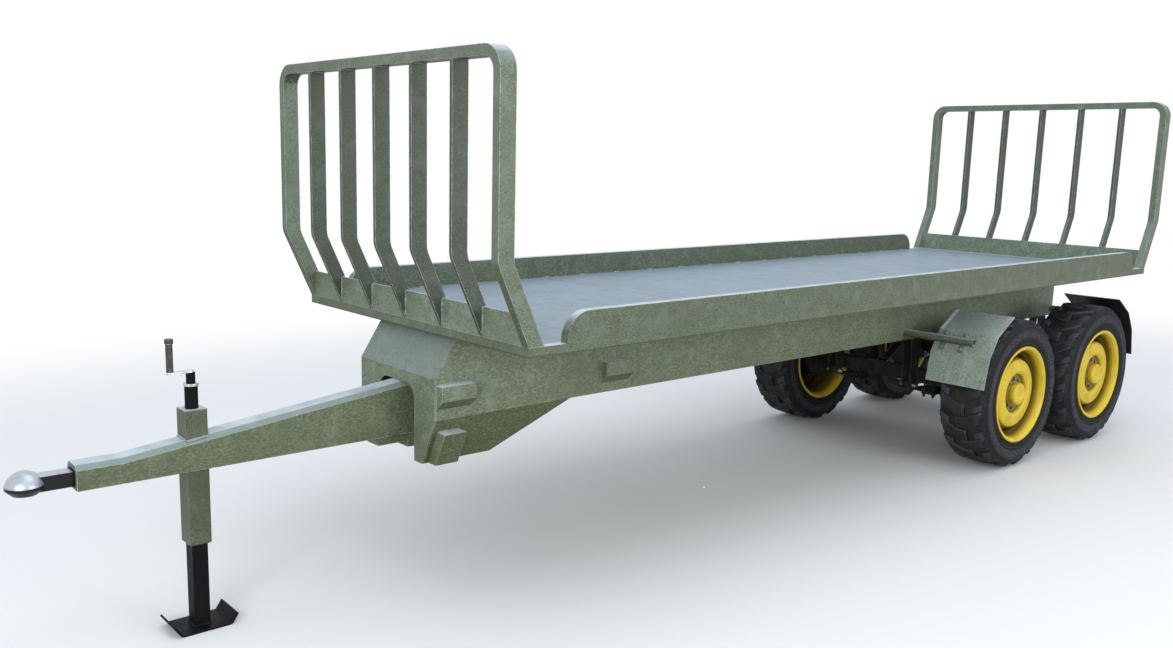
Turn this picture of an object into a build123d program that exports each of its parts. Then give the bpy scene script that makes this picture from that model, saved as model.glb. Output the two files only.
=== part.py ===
"""Two-axle bale trailer: flat deck with low side boards, cranked barred racks at both ends, a narrow
box chassis with a tandem sprung bogie, and a sprung drawbar that parks on a screw jack.

Millimetres. +X is forward, +Y is left, +Z is up. The floor is at Z = 0, and X = 0 is halfway
between the tip of the coupling and the back of the rear rack.
"""

import math
import os

from build123d import *

os.makedirs("parts", exist_ok=True)

# Fits
SLIDE_GAP = 0.5        # round the jack's leg in its sleeve
PIN_GAP = 0.15         # round a pin in its hole
BEAD_GAP = 0.3         # between tyre and rim
SIDE_GAP = 0.3         # between a spring eye and the cheeks beside it
RUNNING_GAP = 6.0      # between a turning drum and its backing plate

# Deck
DECK_LENGTH = 7820.0
DECK_WIDTH = 2500.0
DECK_TOP = 1650.0
FLOOR_SHEET = 5.0
RAIL_HEIGHT = 55.0             # up to the floor sheet's top
RAIL_WIDTH = 60.0              # carries the boards, racks and kick plates
CROSS_MEMBER_COUNT = 12
CROSS_MEMBER_WIDTH = 70.0
CROSS_MEMBER_WALL = 6.0
CROSS_MEMBER_INSET = 330.0     # deck's end to the first cross-member's middle
GUSSET_PLATE = 8.0
GUSSET_ROOT = 100.0            # depth against the chassis
GUSSET_TIP = 12.0              # depth against the deck's side rail

# Side boards
BOARD_HEIGHT = 175.0
BOARD_THICKNESS = 55.0
BOARD_SETBACK = 270.0          # deck's end to the board's end
BOARD_RADIUS = 160.0

# End racks
HEADBOARD_HEIGHT = 1577.0
TAILBOARD_HEIGHT = 1628.0
RACK_LEAN = 212.0              # how far the upper part stands outside the deck's end
RACK_BEND_HEIGHT = 465.0
RACK_BEND_RADIUS = 130.0
RACK_DEPTH = 105.0
RACK_POST_WIDTH = 60.0
RACK_RAIL_HEIGHT = 60.0
RACK_CORNER_RADIUS = 140.0
RACK_BAR_COUNT = 5
RACK_BAR_WIDTH = 25.0
KICK_PLATE = 10.0

# Chassis
CHASSIS_WIDTH = 870.0
CHASSIS_PLATE = 10.0
CHASSIS_BOTTOM = 1085.0
CHASSIS_NOSE_OVERHANG = 63.0   # front face ahead of the deck's front edge
CHASSIS_NOSE_HEIGHT = 1340.0   # floor to the fold between front face and slope
CHASSIS_NOSE_SLOPE = 165.0     # how far the slope runs back to the deck
CHASSIS_TAIL_INSET = 120.0     # chassis end ahead of the deck's rear edge
SKIRT_BOTTOM = 787.0
SKIRT_WIDTH = 592.0
SKIRT_LENGTH = 510.0           # front face to the start of the taper
SKIRT_TAPER = 560.0
ARCH_WIDTH = 412.0
ARCH_TOP = 1268.0
ARCH_RADIUS = 95.0
BRACKET_LENGTH = 250.0
BRACKET_REACH = 62.0
BRACKET_TOP = 1300.0
BRACKET_FACE = 90.0
BRACKET_HEIGHT = 150.0
BRACKET_PLACES = (75.0, 1400.0)   # each bracket's middle, behind the deck's front edge

# Drawbar, coupling and drawbar pivot
DRAWBAR_TIP = 2005.0           # drawbar's front end, ahead of the deck's front edge
DRAWBAR_WIDTH = 160.0
DRAWBAR_BOTTOM = 928.0
DRAWBAR_TIP_DEPTH = 135.0
DRAWBAR_TIP_FLAT = 240.0       # level top behind the front end
DRAWBAR_ROOT_DEPTH = 390.0
DRAWBAR_CHAMFER = 26.0
DRAWBAR_ROOT = 420.0           # drawbar's rear end, behind the deck's front edge
SHOE_WIDTH = 120.0
SHOE_DEPTH = 55.0
SHOE_REACH = 285.0             # shoe's front end, ahead of the deck's front edge
SHOE_LUG_DEPTH = 95.0
SHOE_LUG_LENGTH = 160.0
PIVOT_SETBACK = 63.0
PIVOT_HEIGHT = 888.0
PIVOT_PIN_DIAMETER = 50.0
PIVOT_BLOCK_LENGTH = 163.0
PIVOT_BLOCK_TOP = 1000.0
PIVOT_BLOCK_DEPTH = 76.0
PIVOT_PIN_SINK = 50.0          # how far the pin runs into each block
COUPLING_REACH = 2234.0        # ball's centre, ahead of the deck's front edge
COUPLING_DIAMETER = 188.0
COUPLING_TOP = 1062.0
COUPLING_DEPTH = 120.0
COUPLING_DOME = 74.0
COUPLING_EDGE = 30.0
BALL_DIAMETER = 80.0
BALL_SINK = 6.0                # ball's centre above the head's lower face
SHANK_WIDTH = 92.0
SHANK_TOP = 1028.0
SHANK_DEPTH = 78.0

# Jack
JACK_SETBACK = 638.0           # jack's axis behind the drawbar's front end
SLEEVE_SIZE = 124.0
SLEEVE_BOTTOM = 492.0
SLEEVE_TOP = 1265.0
SLEEVE_CAP = 10.0
SLEEVE_CHAMFER = 7.0
LEG_SIZE = 90.0
LEG_WALL = 8.0
LEG_TOP = 850.0
FOOT_FLAT = 290.0
FOOT_TIP_REACH = 40.0
FOOT_TIP_RISE = 58.0
FOOT_WIDTH = 230.0
FOOT_PLATE = 12.0
FOOT_BEND_RADIUS = 30.0
JACK_HEAD_DIAMETER = 72.0
JACK_HEAD_HEIGHT = 140.0
JACK_COLLAR_DIAMETER = 80.0
JACK_COLLAR_HEIGHT = 14.0
SPINDLE_DIAMETER = 50.0
SPINDLE_HEIGHT = 60.0
CRANK_REACH = 112.0
CRANK_WIDTH = 36.0
CRANK_PLATE = 12.0
GRIP_DIAMETER = 36.0
GRIP_HEIGHT = 182.0
GRIP_CAP_DIAMETER = 44.0
GRIP_CAP_HEIGHT = 26.0

# Bogie
REAR_AXLE_INSET = 770.0        # ahead of the deck's rear edge
AXLE_SPACING = 1510.0
AXLE_BEAM = 120.0
AXLE_BEAM_LENGTH = 1600.0
STUB_DIAMETER = 80.0
BACKING_DIAMETER = 390.0
BACKING_PLATE = 10.0
SPRING_TRACK = 800.0
SPRING_HALF_LENGTH = 420.0
SPRING_SAG = 45.0
SPRING_WIDTH = 75.0
LEAF_THICKNESS = 12.0
LEAF_COUNT = 5
LEAF_STEP = 78.0
SPRING_SEAT = 10.0
SPRING_SEAT_LENGTH = 130.0
EYE_RISE = 14.0
EYE_DIAMETER = 54.0
EYE_PIN_DIAMETER = 26.0
HANGER_CHEEK = 10.0
HANGER_TOP_LENGTH = 160.0
HANGER_TOP_PLATE = 10.0
HANGER_BOSS_DIAMETER = 84.0
ROCKER_CHEEK = 14.0
ROCKER_BOSS_DIAMETER = 100.0
ROCKER_END_DIAMETER = 66.0
ROCKER_RISE = 174.0            # pivot above the spring eyes
ROCKER_PIN_DIAMETER = 40.0

# Wheels
RIM_DIAMETER = 856.0
TYRE_SECTION = 232.0           # rim's edge to the tips of the lugs
TYRE_WIDTH = 440.0
TYRE_FLATS = 32                # round the carcass
WHEEL_TRACK = 2070.0
TREAD_WIDTH = 344.0
SHOULDER_DROP = 62.0           # from the tips of the lugs
LUG_COUNT = 16                 # on each side of the tread, staggered
LUG_HEIGHT = 25.0              # carcass to the tips
LUG_WIDTH = 84.0
LUG_RISE = 80.0                # along the tread, from the bend to the outer end
LUG_BEND = 35.0                # outside the tread's middle
LUG_CROSSING = 40.0            # inner end, beyond the tread's middle
LUG_SINK = 10.0                # root below the carcass
RIM_WIDTH = 432.0
RIM_FLANGE = 30.0              # height above the bead seat
RIM_WALL = 16.0
RIM_LIP_BEVEL = 8.0
SEAT_WIDTH = 80.0
WELL_DROP = 26.0
WELL_SLOPE = 30.0
HUB_HOLE_DIAMETER = 220.0
HUB_FACE = 120.0               # wheel disc's hub face, outside the wheel's middle plane
DISC_PLATE = 14.0
DISC_INNER_FOLDS = (           # distance outside the hub hole, height outside the hub face
    (58.0, 0.0),
    (66.0, 30.0),
    (78.0, 45.0),
    (104.0, 48.0),
)
DISC_OUTER_FOLDS = (           # distance inside the rim's edge, height outside the hub face
    (128.0, 38.0),
    (108.0, 22.0),
    (96.0, -8.0),
    (89.0, -62.0),
)
BARREL_SPAN = 60.0             # hub barrel between drum and wheel disc
DRUM_DIAMETER = 410.0
DRUM_DEPTH = 170.0
HUB_BARREL_DIAMETER = 240.0
CAP_DIAMETER = 196.0
CAP_REACH = 200.0              # cap's face, outside the wheel's middle plane
CAP_CHAMFER = 14.0

# Mudguards
MUDGUARD_FOLDS = (             # degrees above the axle, clearance outside the tyre
    (69.2, 102.0),
    (47.6, 102.0),
    (31.3, 80.0),
    (10.5, 39.0),
)
MUDGUARD_WIDTH = 538.0
MUDGUARD_SHEET = 5.0
STAY_DIAMETER = 65.0
STAY_WALL = 5.0
STAY_REACH = 1095.0            # outer end, from the trailer's middle
STRAP_PLATE = 12.0
STRAP_LENGTH = 180.0
STRAP_WIDTH = 50.0
STRAP_PLACES = (800.0, 980.0)  # each strap's middle, from the trailer's middle

# Places worked out from the sizes above
front_reach = COUPLING_REACH + COUPLING_DIAMETER / 2
overall_length = front_reach + DECK_LENGTH + RACK_LEAN
deck_front = overall_length / 2 - front_reach
deck_rear = deck_front - DECK_LENGTH
deck_side = DECK_WIDTH / 2
deck_under = DECK_TOP - RAIL_HEIGHT
chassis_front = deck_front + CHASSIS_NOSE_OVERHANG
chassis_rear = deck_rear + CHASSIS_TAIL_INSET
chassis_side = CHASSIS_WIDTH / 2
taper_start = chassis_front - SKIRT_LENGTH
taper_end = taper_start - SKIRT_TAPER
jack_x = deck_front + DRAWBAR_TIP - JACK_SETBACK
pivot_x = deck_front - PIVOT_SETBACK
rear_axle_x = deck_rear + REAR_AXLE_INSET
front_axle_x = rear_axle_x + AXLE_SPACING
bogie_x = (front_axle_x + rear_axle_x) / 2
tyre_radius = RIM_DIAMETER / 2 + TYRE_SECTION
axle_z = tyre_radius
axle_under = axle_z - AXLE_BEAM / 2
wheel_y = WHEEL_TRACK / 2
spring_y = SPRING_TRACK / 2
leaf_top = axle_under - SPRING_SEAT
eye_z = leaf_top + SPRING_SAG + EYE_RISE
rocker_z = eye_z + ROCKER_RISE
seat_radius = RIM_DIAMETER / 2 - RIM_FLANGE

SIDES = {"left": 1, "right": -1}
AXLES = {"front": front_axle_x, "rear": rear_axle_x}


def prism(outline, along, start, end):
    """Straight solid with a flat outline: (y, z) along x, (x, z) along y or (x, y) along z."""
    face = outline if isinstance(outline, Sketch) else make_face(Polyline(*outline, close=True))
    plane, base = {
        "x": (Plane.YZ, start),
        "y": (Plane.XZ, -end),
        "z": (Plane.XY, start),
    }[along]
    return extrude(plane.offset(base) * face, amount=end - start)


def block(x_range, y_range, z_range):
    """Rectangular solid between the given limits."""
    (x0, x1), (y0, y1) = x_range, y_range
    return prism([(x0, y0), (x1, y0), (x1, y1), (x0, y1)], "z", *z_range)


def rod(along, centre, start, end, diameter):
    """Round bar along x, y or z, through the two other coordinates of its axis."""
    plane, base = {
        "x": (Plane.YZ, start),
        "y": (Plane.XZ, -end),
        "z": (Plane.XY, start),
    }[along]
    return extrude(plane.offset(base) * (Pos(*centre) * Circle(diameter / 2)), amount=end - start)


def beside(path, distance):
    """The path moved sideways to its left by a distance, with mitred corners."""
    lines = []
    for (ax, ay), (bx, by) in zip(path, path[1:]):
        length = math.hypot(bx - ax, by - ay)
        nx, ny = -(by - ay) / length * distance, (bx - ax) / length * distance
        lines.append(((ax + nx, ay + ny), (bx + nx, by + ny)))
    moved = [lines[0][0]]
    for (a, b), (c, d) in zip(lines, lines[1:]):
        ux, uy = b[0] - a[0], b[1] - a[1]
        vx, vy = d[0] - c[0], d[1] - c[1]
        t = ((c[0] - a[0]) * vy - (c[1] - a[1]) * vx) / (ux * vy - uy * vx)
        moved.append((a[0] + ux * t, a[1] + uy * t))
    return moved + [lines[-1][1]]


def sheet(path, thickness):
    """Outline of a bent sheet whose one face follows the path and which lies to the path's left."""
    return list(path) + beside(path, thickness)[::-1]


def near(sketch, *points):
    """The sketch's corners that lie at the given points."""
    return [min(sketch.vertices(), key=lambda v, p=p: math.dist((v.X, v.Y), p)) for p in points]


def rounded(outline, radius, *points):
    """Outline as a sketch with the corners at the given points rounded."""
    sketch = Sketch() + make_face(Polyline(*outline, close=True))
    return Sketch() + fillet(near(sketch, *points), radius)


def spun(section):
    """Solid of revolution about Y from a closed section of (radius, y) points."""
    return revolve(make_face(Polyline(*section, close=True)), Axis.Y)


def across(shape):
    """The same piece on the other side of the trailer."""
    return mirror(shape, about=Plane.XZ)


def deck():
    """Floor sheet framed by edge rails, on cross-members with gussets."""
    rail_inner = deck_side - RAIL_WIDTH
    floor_under = DECK_TOP - FLOOR_SHEET
    z_range = (deck_under, DECK_TOP)
    side_rail = block((deck_rear, deck_front), (rail_inner, deck_side), z_range)
    ends = (deck_front - RAIL_WIDTH, deck_rear)
    floor_range = (deck_rear + RAIL_WIDTH, deck_front - RAIL_WIDTH)
    first = deck_front - CROSS_MEMBER_INSET
    pitch = (DECK_LENGTH - 2 * CROSS_MEMBER_INSET) / (CROSS_MEMBER_COUNT - 1)
    channel = [
        (CROSS_MEMBER_WIDTH / 2, deck_under),
        (CROSS_MEMBER_WIDTH / 2, floor_under),
        (-CROSS_MEMBER_WIDTH / 2, floor_under),
        (-CROSS_MEMBER_WIDTH / 2, deck_under),
    ]
    gusset = [
        (chassis_side, deck_under),
        (rail_inner, deck_under),
        (rail_inner, deck_under - GUSSET_TIP),
        (chassis_side, deck_under - GUSSET_ROOT),
    ]
    member = prism(sheet(channel, CROSS_MEMBER_WALL), "y", -rail_inner, rail_inner)
    flange = CROSS_MEMBER_WIDTH / 2
    wing = prism(gusset, "x", flange - GUSSET_PLATE, flange)
    member = member + wing + across(wing)
    return {
        "deck_floor": block(floor_range, (-rail_inner, rail_inner), (floor_under, DECK_TOP)),
        "deck_side_rails": [side_rail, across(side_rail)],
        "deck_end_rails": [block((x, x + RAIL_WIDTH), (-rail_inner, rail_inner), z_range) for x in ends],
        "deck_cross_members": [Pos(first - i * pitch, 0, 0) * member for i in range(CROSS_MEMBER_COUNT)],
    }


def side_boards():
    """Low boards along both edges of the deck, with rounded upper corners."""
    front, rear = deck_front - BOARD_SETBACK, deck_rear + BOARD_SETBACK
    top = DECK_TOP + BOARD_HEIGHT
    outline = [(front, DECK_TOP), (front, top), (rear, top), (rear, DECK_TOP)]
    board = prism(
        rounded(outline, BOARD_RADIUS, (front, top), (rear, top)),
        "y",
        deck_side - BOARD_THICKNESS,
        deck_side,
    )
    return {"side_board_left": board, "side_board_right": across(board)}


def rack(edge, outward, height):
    """Hoop, inner bars and kick plate of the rack on a deck's end, which leans outward."""
    rack_top = DECK_TOP + height
    bend, lean = DECK_TOP + RACK_BEND_HEIGHT, edge + outward * RACK_LEAN
    inner = lean - outward * RACK_DEPTH
    outline = [
        (edge, DECK_TOP),
        (lean, bend),
        (lean, rack_top),
        (inner, rack_top),
        (inner, bend),
        (edge - outward * RACK_DEPTH, DECK_TOP),
    ]
    crank = rounded(outline, RACK_BEND_RADIUS, (lean, bend), (inner, bend))
    post_inner, rail_under = deck_side - RACK_POST_WIDTH, rack_top - RACK_RAIL_HEIGHT
    outer = rounded(
        [(-deck_side, DECK_TOP), (deck_side, DECK_TOP), (deck_side, rack_top), (-deck_side, rack_top)],
        RACK_CORNER_RADIUS,
        (deck_side, rack_top),
        (-deck_side, rack_top),
    )
    clear = rounded(
        [(-post_inner, 0), (post_inner, 0), (post_inner, rail_under), (-post_inner, rail_under)],
        RACK_CORNER_RADIUS - RACK_POST_WIDTH,
        (post_inner, rail_under),
        (-post_inner, rail_under),
    )
    x_range = sorted((edge - outward * RACK_DEPTH, lean))
    hoop = prism(crank, "y", -deck_side, deck_side) & prism(outer - clear, "x", *x_range)
    kick_range = sorted((edge, edge - outward * KICK_PLATE))
    kick_top = DECK_TOP + BOARD_HEIGHT
    behind = sorted((edge, edge - outward * RACK_DEPTH))
    seat = block(behind, (-deck_side, deck_side), (DECK_TOP, kick_top))
    above = block(x_range, (-deck_side, deck_side), (rail_under, rack_top))
    pitch = (DECK_WIDTH - RACK_POST_WIDTH) / (RACK_BAR_COUNT + 1)
    bars = []
    for i in range(RACK_BAR_COUNT):
        y = (i - (RACK_BAR_COUNT - 1) / 2) * pitch
        bars.append(prism(crank, "y", y - RACK_BAR_WIDTH / 2, y + RACK_BAR_WIDTH / 2) - seat - above)
    plate = block(kick_range, (-post_inner, post_inner), (DECK_TOP, kick_top))
    return hoop, bars, plate


def racks():
    """Headboard and tailboard, which lean away from each other."""
    pieces = {}
    ends = (
        ("headboard", deck_front, 1, HEADBOARD_HEIGHT),
        ("tailboard", deck_rear, -1, TAILBOARD_HEIGHT),
    )
    for name, edge, outward, height in ends:
        hoop, bars, plate = rack(edge, outward, height)
        pieces[f"{name}_hoop"] = hoop
        pieces[f"{name}_bars"] = bars
        pieces[f"{name}_kick_plate"] = plate
    return pieces


side_path = [
    (chassis_side, deck_under),
    (chassis_side, CHASSIS_BOTTOM),
    (SKIRT_WIDTH / 2, SKIRT_BOTTOM),
]
side_inner = beside(side_path, -CHASSIS_PLATE)
nose_path = [
    (chassis_front, SKIRT_BOTTOM),
    (chassis_front, CHASSIS_NOSE_HEIGHT),
    (chassis_front - CHASSIS_NOSE_SLOPE, deck_under),
]
nose_inner = beside(nose_path, CHASSIS_PLATE)


def trough(path):
    """Outline between a chassis side's path and its mirror image."""
    return path + [(-y, z) for y, z in reversed(path)]


def chassis():
    """Bent side plates with front skirts, nose with the drawbar's arch, and the plates between."""
    nose = prism(sheet(nose_path, CHASSIS_PLATE), "y", -chassis_side, chassis_side)
    half_arch = ARCH_WIDTH / 2
    arch = rounded(
        [(-half_arch, 0), (half_arch, 0), (half_arch, ARCH_TOP), (-half_arch, ARCH_TOP)],
        ARCH_RADIUS,
        (half_arch, ARCH_TOP),
        (-half_arch, ARCH_TOP),
    )
    nose_range = (chassis_front - CHASSIS_NOSE_SLOPE - CHASSIS_PLATE, chassis_front)
    front = nose & prism(trough(side_path), "x", *nose_range)
    front = front - prism(arch, "x", chassis_front - CHASSIS_PLATE, chassis_front)

    side_outline = nose_inner + [
        (chassis_rear, deck_under),
        (chassis_rear, CHASSIS_BOTTOM),
        (taper_end, CHASSIS_BOTTOM),
        (taper_start, SKIRT_BOTTOM),
    ]
    bent = prism(side_path + side_inner[::-1], "x", chassis_rear, chassis_front)
    side = bent & prism(side_outline, "y", 0, chassis_side)
    side = side - rod("y", (pivot_x, PIVOT_HEIGHT), 0, chassis_side, PIVOT_PIN_DIAMETER + 2 * PIN_GAP)

    inner_side = chassis_side - CHASSIS_PLATE
    fold_inner = side_inner[1][1]
    bottom_range = (fold_inner, fold_inner + CHASSIS_PLATE)
    bottom = block((chassis_rear, taper_end), (-inner_side, inner_side), bottom_range)
    between = block((chassis_rear, taper_end), (-inner_side, inner_side), (bottom_range[1], deck_under))
    bulkheads = [
        between & block((x, x + CHASSIS_PLATE), (-chassis_side, chassis_side), (0, deck_under))
        for x in (chassis_rear, taper_end - CHASSIS_PLATE)
    ]
    root = deck_front - DRAWBAR_ROOT
    anchor = prism(trough(side_inner), "x", root - CHASSIS_PLATE, root)
    return {
        "chassis_nose": front,
        "chassis_side_left": side,
        "chassis_side_right": across(side),
        "chassis_bottom_plate": bottom,
        "chassis_cross_plates": [anchor, *bulkheads],
    }


def side_brackets():
    """Box brackets on the chassis's left side: flat top, upright face, underside sloping back in."""
    reach = chassis_side + BRACKET_REACH
    outline = [
        (chassis_side, BRACKET_TOP),
        (reach, BRACKET_TOP),
        (reach, BRACKET_TOP - BRACKET_FACE),
        (chassis_side, BRACKET_TOP - BRACKET_HEIGHT),
    ]
    bracket = prism(outline, "x", -BRACKET_LENGTH / 2, BRACKET_LENGTH / 2)
    return {"chassis_side_brackets": [Pos(deck_front - place, 0, 0) * bracket for place in BRACKET_PLACES]}


def drawbar():
    """Tapered drawbar with its shoe, pivot pin, pivot blocks and coupling."""
    tip, root = deck_front + DRAWBAR_TIP, deck_front - DRAWBAR_ROOT
    tip_top = DRAWBAR_BOTTOM + DRAWBAR_TIP_DEPTH
    root_top = DRAWBAR_BOTTOM + DRAWBAR_ROOT_DEPTH
    half = DRAWBAR_WIDTH / 2
    outline = [
        (tip, DRAWBAR_BOTTOM),
        (tip, tip_top),
        (tip - DRAWBAR_TIP_FLAT, tip_top),
        (root, root_top),
        (root, DRAWBAR_BOTTOM),
    ]
    beam = prism(outline, "y", -half, half)
    lengthwise = [e for e in beam.edges() if e.bounding_box().size.X > DRAWBAR_CHAMFER]
    ridges = [e for e in lengthwise if e.center().Z > DRAWBAR_BOTTOM + DRAWBAR_CHAMFER]
    beam = chamfer(ridges, DRAWBAR_CHAMFER)
    sleeve = SLEEVE_SIZE / 2
    beam = beam - block((jack_x - sleeve, jack_x + sleeve), (-sleeve, sleeve), (0, SLEEVE_TOP))

    shoe_bottom = DRAWBAR_BOTTOM - SHOE_DEPTH
    lug_bottom = DRAWBAR_BOTTOM - SHOE_LUG_DEPTH
    lug_front, lug_rear = pivot_x + SHOE_LUG_LENGTH / 2, pivot_x - SHOE_LUG_LENGTH / 2
    shoe_tip = deck_front + SHOE_REACH
    shoe_outline = [
        (shoe_tip, DRAWBAR_BOTTOM),
        (shoe_tip - SHOE_DEPTH, shoe_bottom),
        (lug_front, shoe_bottom),
        (lug_front, lug_bottom),
        (lug_rear, lug_bottom),
        (lug_rear, DRAWBAR_BOTTOM),
    ]
    shoe = prism(shoe_outline, "y", -SHOE_WIDTH / 2, SHOE_WIDTH / 2)
    pin_hole = PIVOT_PIN_DIAMETER + 2 * PIN_GAP
    shoe = shoe - rod("y", (pivot_x, PIVOT_HEIGHT), -half, half, pin_hole)

    skirt = side_path[1:]
    outer = beside(skirt, PIVOT_BLOCK_DEPTH)
    slant = (skirt[0][0] - skirt[1][0]) / (skirt[0][1] - skirt[1][1])
    top_inner = skirt[0][0] - (skirt[0][1] - PIVOT_BLOCK_TOP) * slant
    top_outer = outer[0][0] - (outer[0][1] - PIVOT_BLOCK_TOP) * slant
    low_outer = outer[0][0] - (outer[0][1] - SKIRT_BOTTOM) * slant
    pin_end = skirt[0][0] - (skirt[0][1] - PIVOT_HEIGHT) * slant + PIVOT_PIN_SINK
    block_outline = [
        (top_inner, PIVOT_BLOCK_TOP),
        (top_outer, PIVOT_BLOCK_TOP),
        (low_outer, SKIRT_BOTTOM),
        (skirt[1][0], SKIRT_BOTTOM),
    ]
    half_block = PIVOT_BLOCK_LENGTH / 2
    housing = prism(block_outline, "x", pivot_x - half_block, pivot_x + half_block)
    housing = housing - rod("y", (pivot_x, PIVOT_HEIGHT), 0, pin_end + PIN_GAP, pin_hole)
    return {
        "drawbar": beam,
        "drawbar_shoe": shoe,
        "drawbar_pivot_pin": rod("y", (pivot_x, PIVOT_HEIGHT), -pin_end, pin_end, PIVOT_PIN_DIAMETER),
        "drawbar_pivot_blocks": [housing, across(housing)],
        "tow_coupling": coupling(tip),
    }


def coupling(tip):
    """Ball coupling: square shank on the drawbar's end and a domed round head over a ball socket."""
    centre = deck_front + COUPLING_REACH
    radius, foot = COUPLING_DIAMETER / 2, COUPLING_TOP - COUPLING_DEPTH
    ledge = radius - COUPLING_EDGE
    rim = COUPLING_TOP - COUPLING_DOME
    dome = (radius ** 2 + COUPLING_DOME ** 2) / (2 * COUPLING_DOME)
    section = make_face(
        [
            Line((0, foot), (ledge, foot)),
            Line((ledge, foot), (radius, foot + COUPLING_EDGE)),
            Line((radius, foot + COUPLING_EDGE), (radius, rim)),
            RadiusArc((radius, rim), (0, COUPLING_TOP), -dome),
            Line((0, COUPLING_TOP), (0, foot)),
        ]
    )
    head = Pos(centre, 0, 0) * revolve(Plane.XZ * section, Axis.Z)
    half = SHANK_WIDTH / 2
    shank = block((tip, centre), (-half, half), (SHANK_TOP - SHANK_DEPTH, SHANK_TOP))
    shank = shank - block((centre - ledge, centre), (-half, half), (0, foot))
    return head + shank - Pos(centre, 0, foot + BALL_SINK) * Sphere(BALL_DIAMETER / 2)


def jack():
    """Screw jack: sleeve through the drawbar, head with crank, square leg and ski-shaped foot."""
    half, bore = SLEEVE_SIZE / 2, LEG_SIZE / 2 + SLIDE_GAP
    sleeve = block((-half, half), (-half, half), (SLEEVE_BOTTOM, SLEEVE_TOP))
    sleeve = chamfer(sleeve.faces().sort_by(Axis.Z)[0].edges(), SLEEVE_CHAMFER)
    sleeve = sleeve - block((-bore, bore), (-bore, bore), (0, SLEEVE_TOP - SLEEVE_CAP))

    head_top = SLEEVE_TOP + JACK_HEAD_HEIGHT
    head = rod("z", (0, 0), SLEEVE_TOP, head_top, JACK_HEAD_DIAMETER)
    head = head + rod("z", (0, 0), head_top - JACK_COLLAR_HEIGHT, head_top, JACK_COLLAR_DIAMETER)
    spindle_top = head_top + SPINDLE_HEIGHT
    head = head + rod("z", (0, 0), head_top, spindle_top, SPINDLE_DIAMETER)

    arm_top = spindle_top + CRANK_PLATE
    arm = SlotCenterToCenter(CRANK_REACH, CRANK_WIDTH)
    crank = extrude(Pos(CRANK_REACH / 2, 0, spindle_top) * arm, amount=CRANK_PLATE)
    grip_top = arm_top + GRIP_HEIGHT
    crank = crank + rod("z", (CRANK_REACH, 0), arm_top, grip_top, GRIP_DIAMETER)
    crank = crank + rod("z", (CRANK_REACH, 0), grip_top - GRIP_CAP_HEIGHT, grip_top, GRIP_CAP_DIAMETER)

    flat, tip = FOOT_FLAT / 2, FOOT_FLAT / 2 + FOOT_TIP_REACH
    ski_path = [(tip, FOOT_TIP_RISE), (flat, 0), (-flat, 0), (-tip, FOOT_TIP_RISE)]
    ski = sheet(ski_path, -FOOT_PLATE)
    bends = (ski_path[1], ski_path[2])
    foot = prism(rounded(ski, FOOT_BEND_RADIUS, *bends), "y", -FOOT_WIDTH / 2, FOOT_WIDTH / 2)
    outer, inner = LEG_SIZE / 2, LEG_SIZE / 2 - LEG_WALL
    leg = block((-outer, outer), (-outer, outer), (FOOT_PLATE, LEG_TOP))
    leg = leg - block((-inner, inner), (-inner, inner), (FOOT_PLATE, LEG_TOP))
    here = Pos(jack_x, 0, 0)
    return {
        "jack_sleeve": here * sleeve,
        "jack_head": here * head,
        "jack_crank": here * crank,
        "jack_leg": here * leg,
        "jack_foot": here * foot,
    }


def leaf(radius, half_angle):
    """Side outline of one curved leaf, below its centre of curvature."""
    upper, lower = radius, radius + LEAF_THICKNESS
    s, c = math.sin(half_angle), math.cos(half_angle)
    return make_face(
        [
            ThreePointArc((-upper * s, -upper * c), (0, -upper), (upper * s, -upper * c)),
            Line((upper * s, -upper * c), (lower * s, -lower * c)),
            ThreePointArc((lower * s, -lower * c), (0, -lower), (-lower * s, -lower * c)),
            Line((-lower * s, -lower * c), (-upper * s, -upper * c)),
        ]
    )


def leaf_spring():
    """Underslung leaf pack, centred on its axle, with a rolled eye at each end and a flat seat."""
    radius = (SPRING_HALF_LENGTH ** 2 + SPRING_SAG ** 2) / (2 * SPRING_SAG)
    half_width = SPRING_WIDTH / 2
    outline = Sketch()
    for i in range(LEAF_COUNT):
        half_angle = math.asin((SPRING_HALF_LENGTH - i * LEAF_STEP) / radius)
        outline = outline + Pos(0, leaf_top + radius) * leaf(radius + i * LEAF_THICKNESS, half_angle)
    pack = prism(outline, "y", -half_width, half_width)
    seat, seat_under = SPRING_SEAT_LENGTH / 2, leaf_top - LEAF_THICKNESS / 2
    pack = pack + block((-seat, seat), (-half_width, half_width), (seat_under, axle_under))
    for x in (-SPRING_HALF_LENGTH, SPRING_HALF_LENGTH):
        pack = pack + rod("y", (x, eye_z), -half_width, half_width, EYE_DIAMETER)
    for x in (-SPRING_HALF_LENGTH, SPRING_HALF_LENGTH):
        pack = pack - rod("y", (x, eye_z), -half_width, half_width, EYE_PIN_DIAMETER + 2 * PIN_GAP)
    return pack


def cheek(pin_z, boss):
    """Side outline of a hanger: wide under the chassis and round about its pin."""
    half_top, half_boss = HANGER_TOP_LENGTH / 2, boss / 2
    straight = [
        (-half_top, CHASSIS_BOTTOM),
        (half_top, CHASSIS_BOTTOM),
        (half_boss, pin_z),
        (-half_boss, pin_z),
    ]
    return Sketch() + make_face(Polyline(*straight, close=True)) + Pos(0, pin_z) * Circle(half_boss)


def hanger(pin_z, boss, pin, inside):
    """Two cheeks, a top plate and a pin, round whatever hangs between the cheeks."""
    outline = cheek(pin_z, boss)
    outside = inside + HANGER_CHEEK
    plate = prism(outline, "y", inside, outside)
    body = plate + across(plate)
    top = (CHASSIS_BOTTOM - HANGER_TOP_PLATE, CHASSIS_BOTTOM)
    body = body + block((-HANGER_TOP_LENGTH / 2, HANGER_TOP_LENGTH / 2), (-outside, outside), top)
    return body + rod("y", (0, pin_z), -outside, outside, pin)


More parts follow.
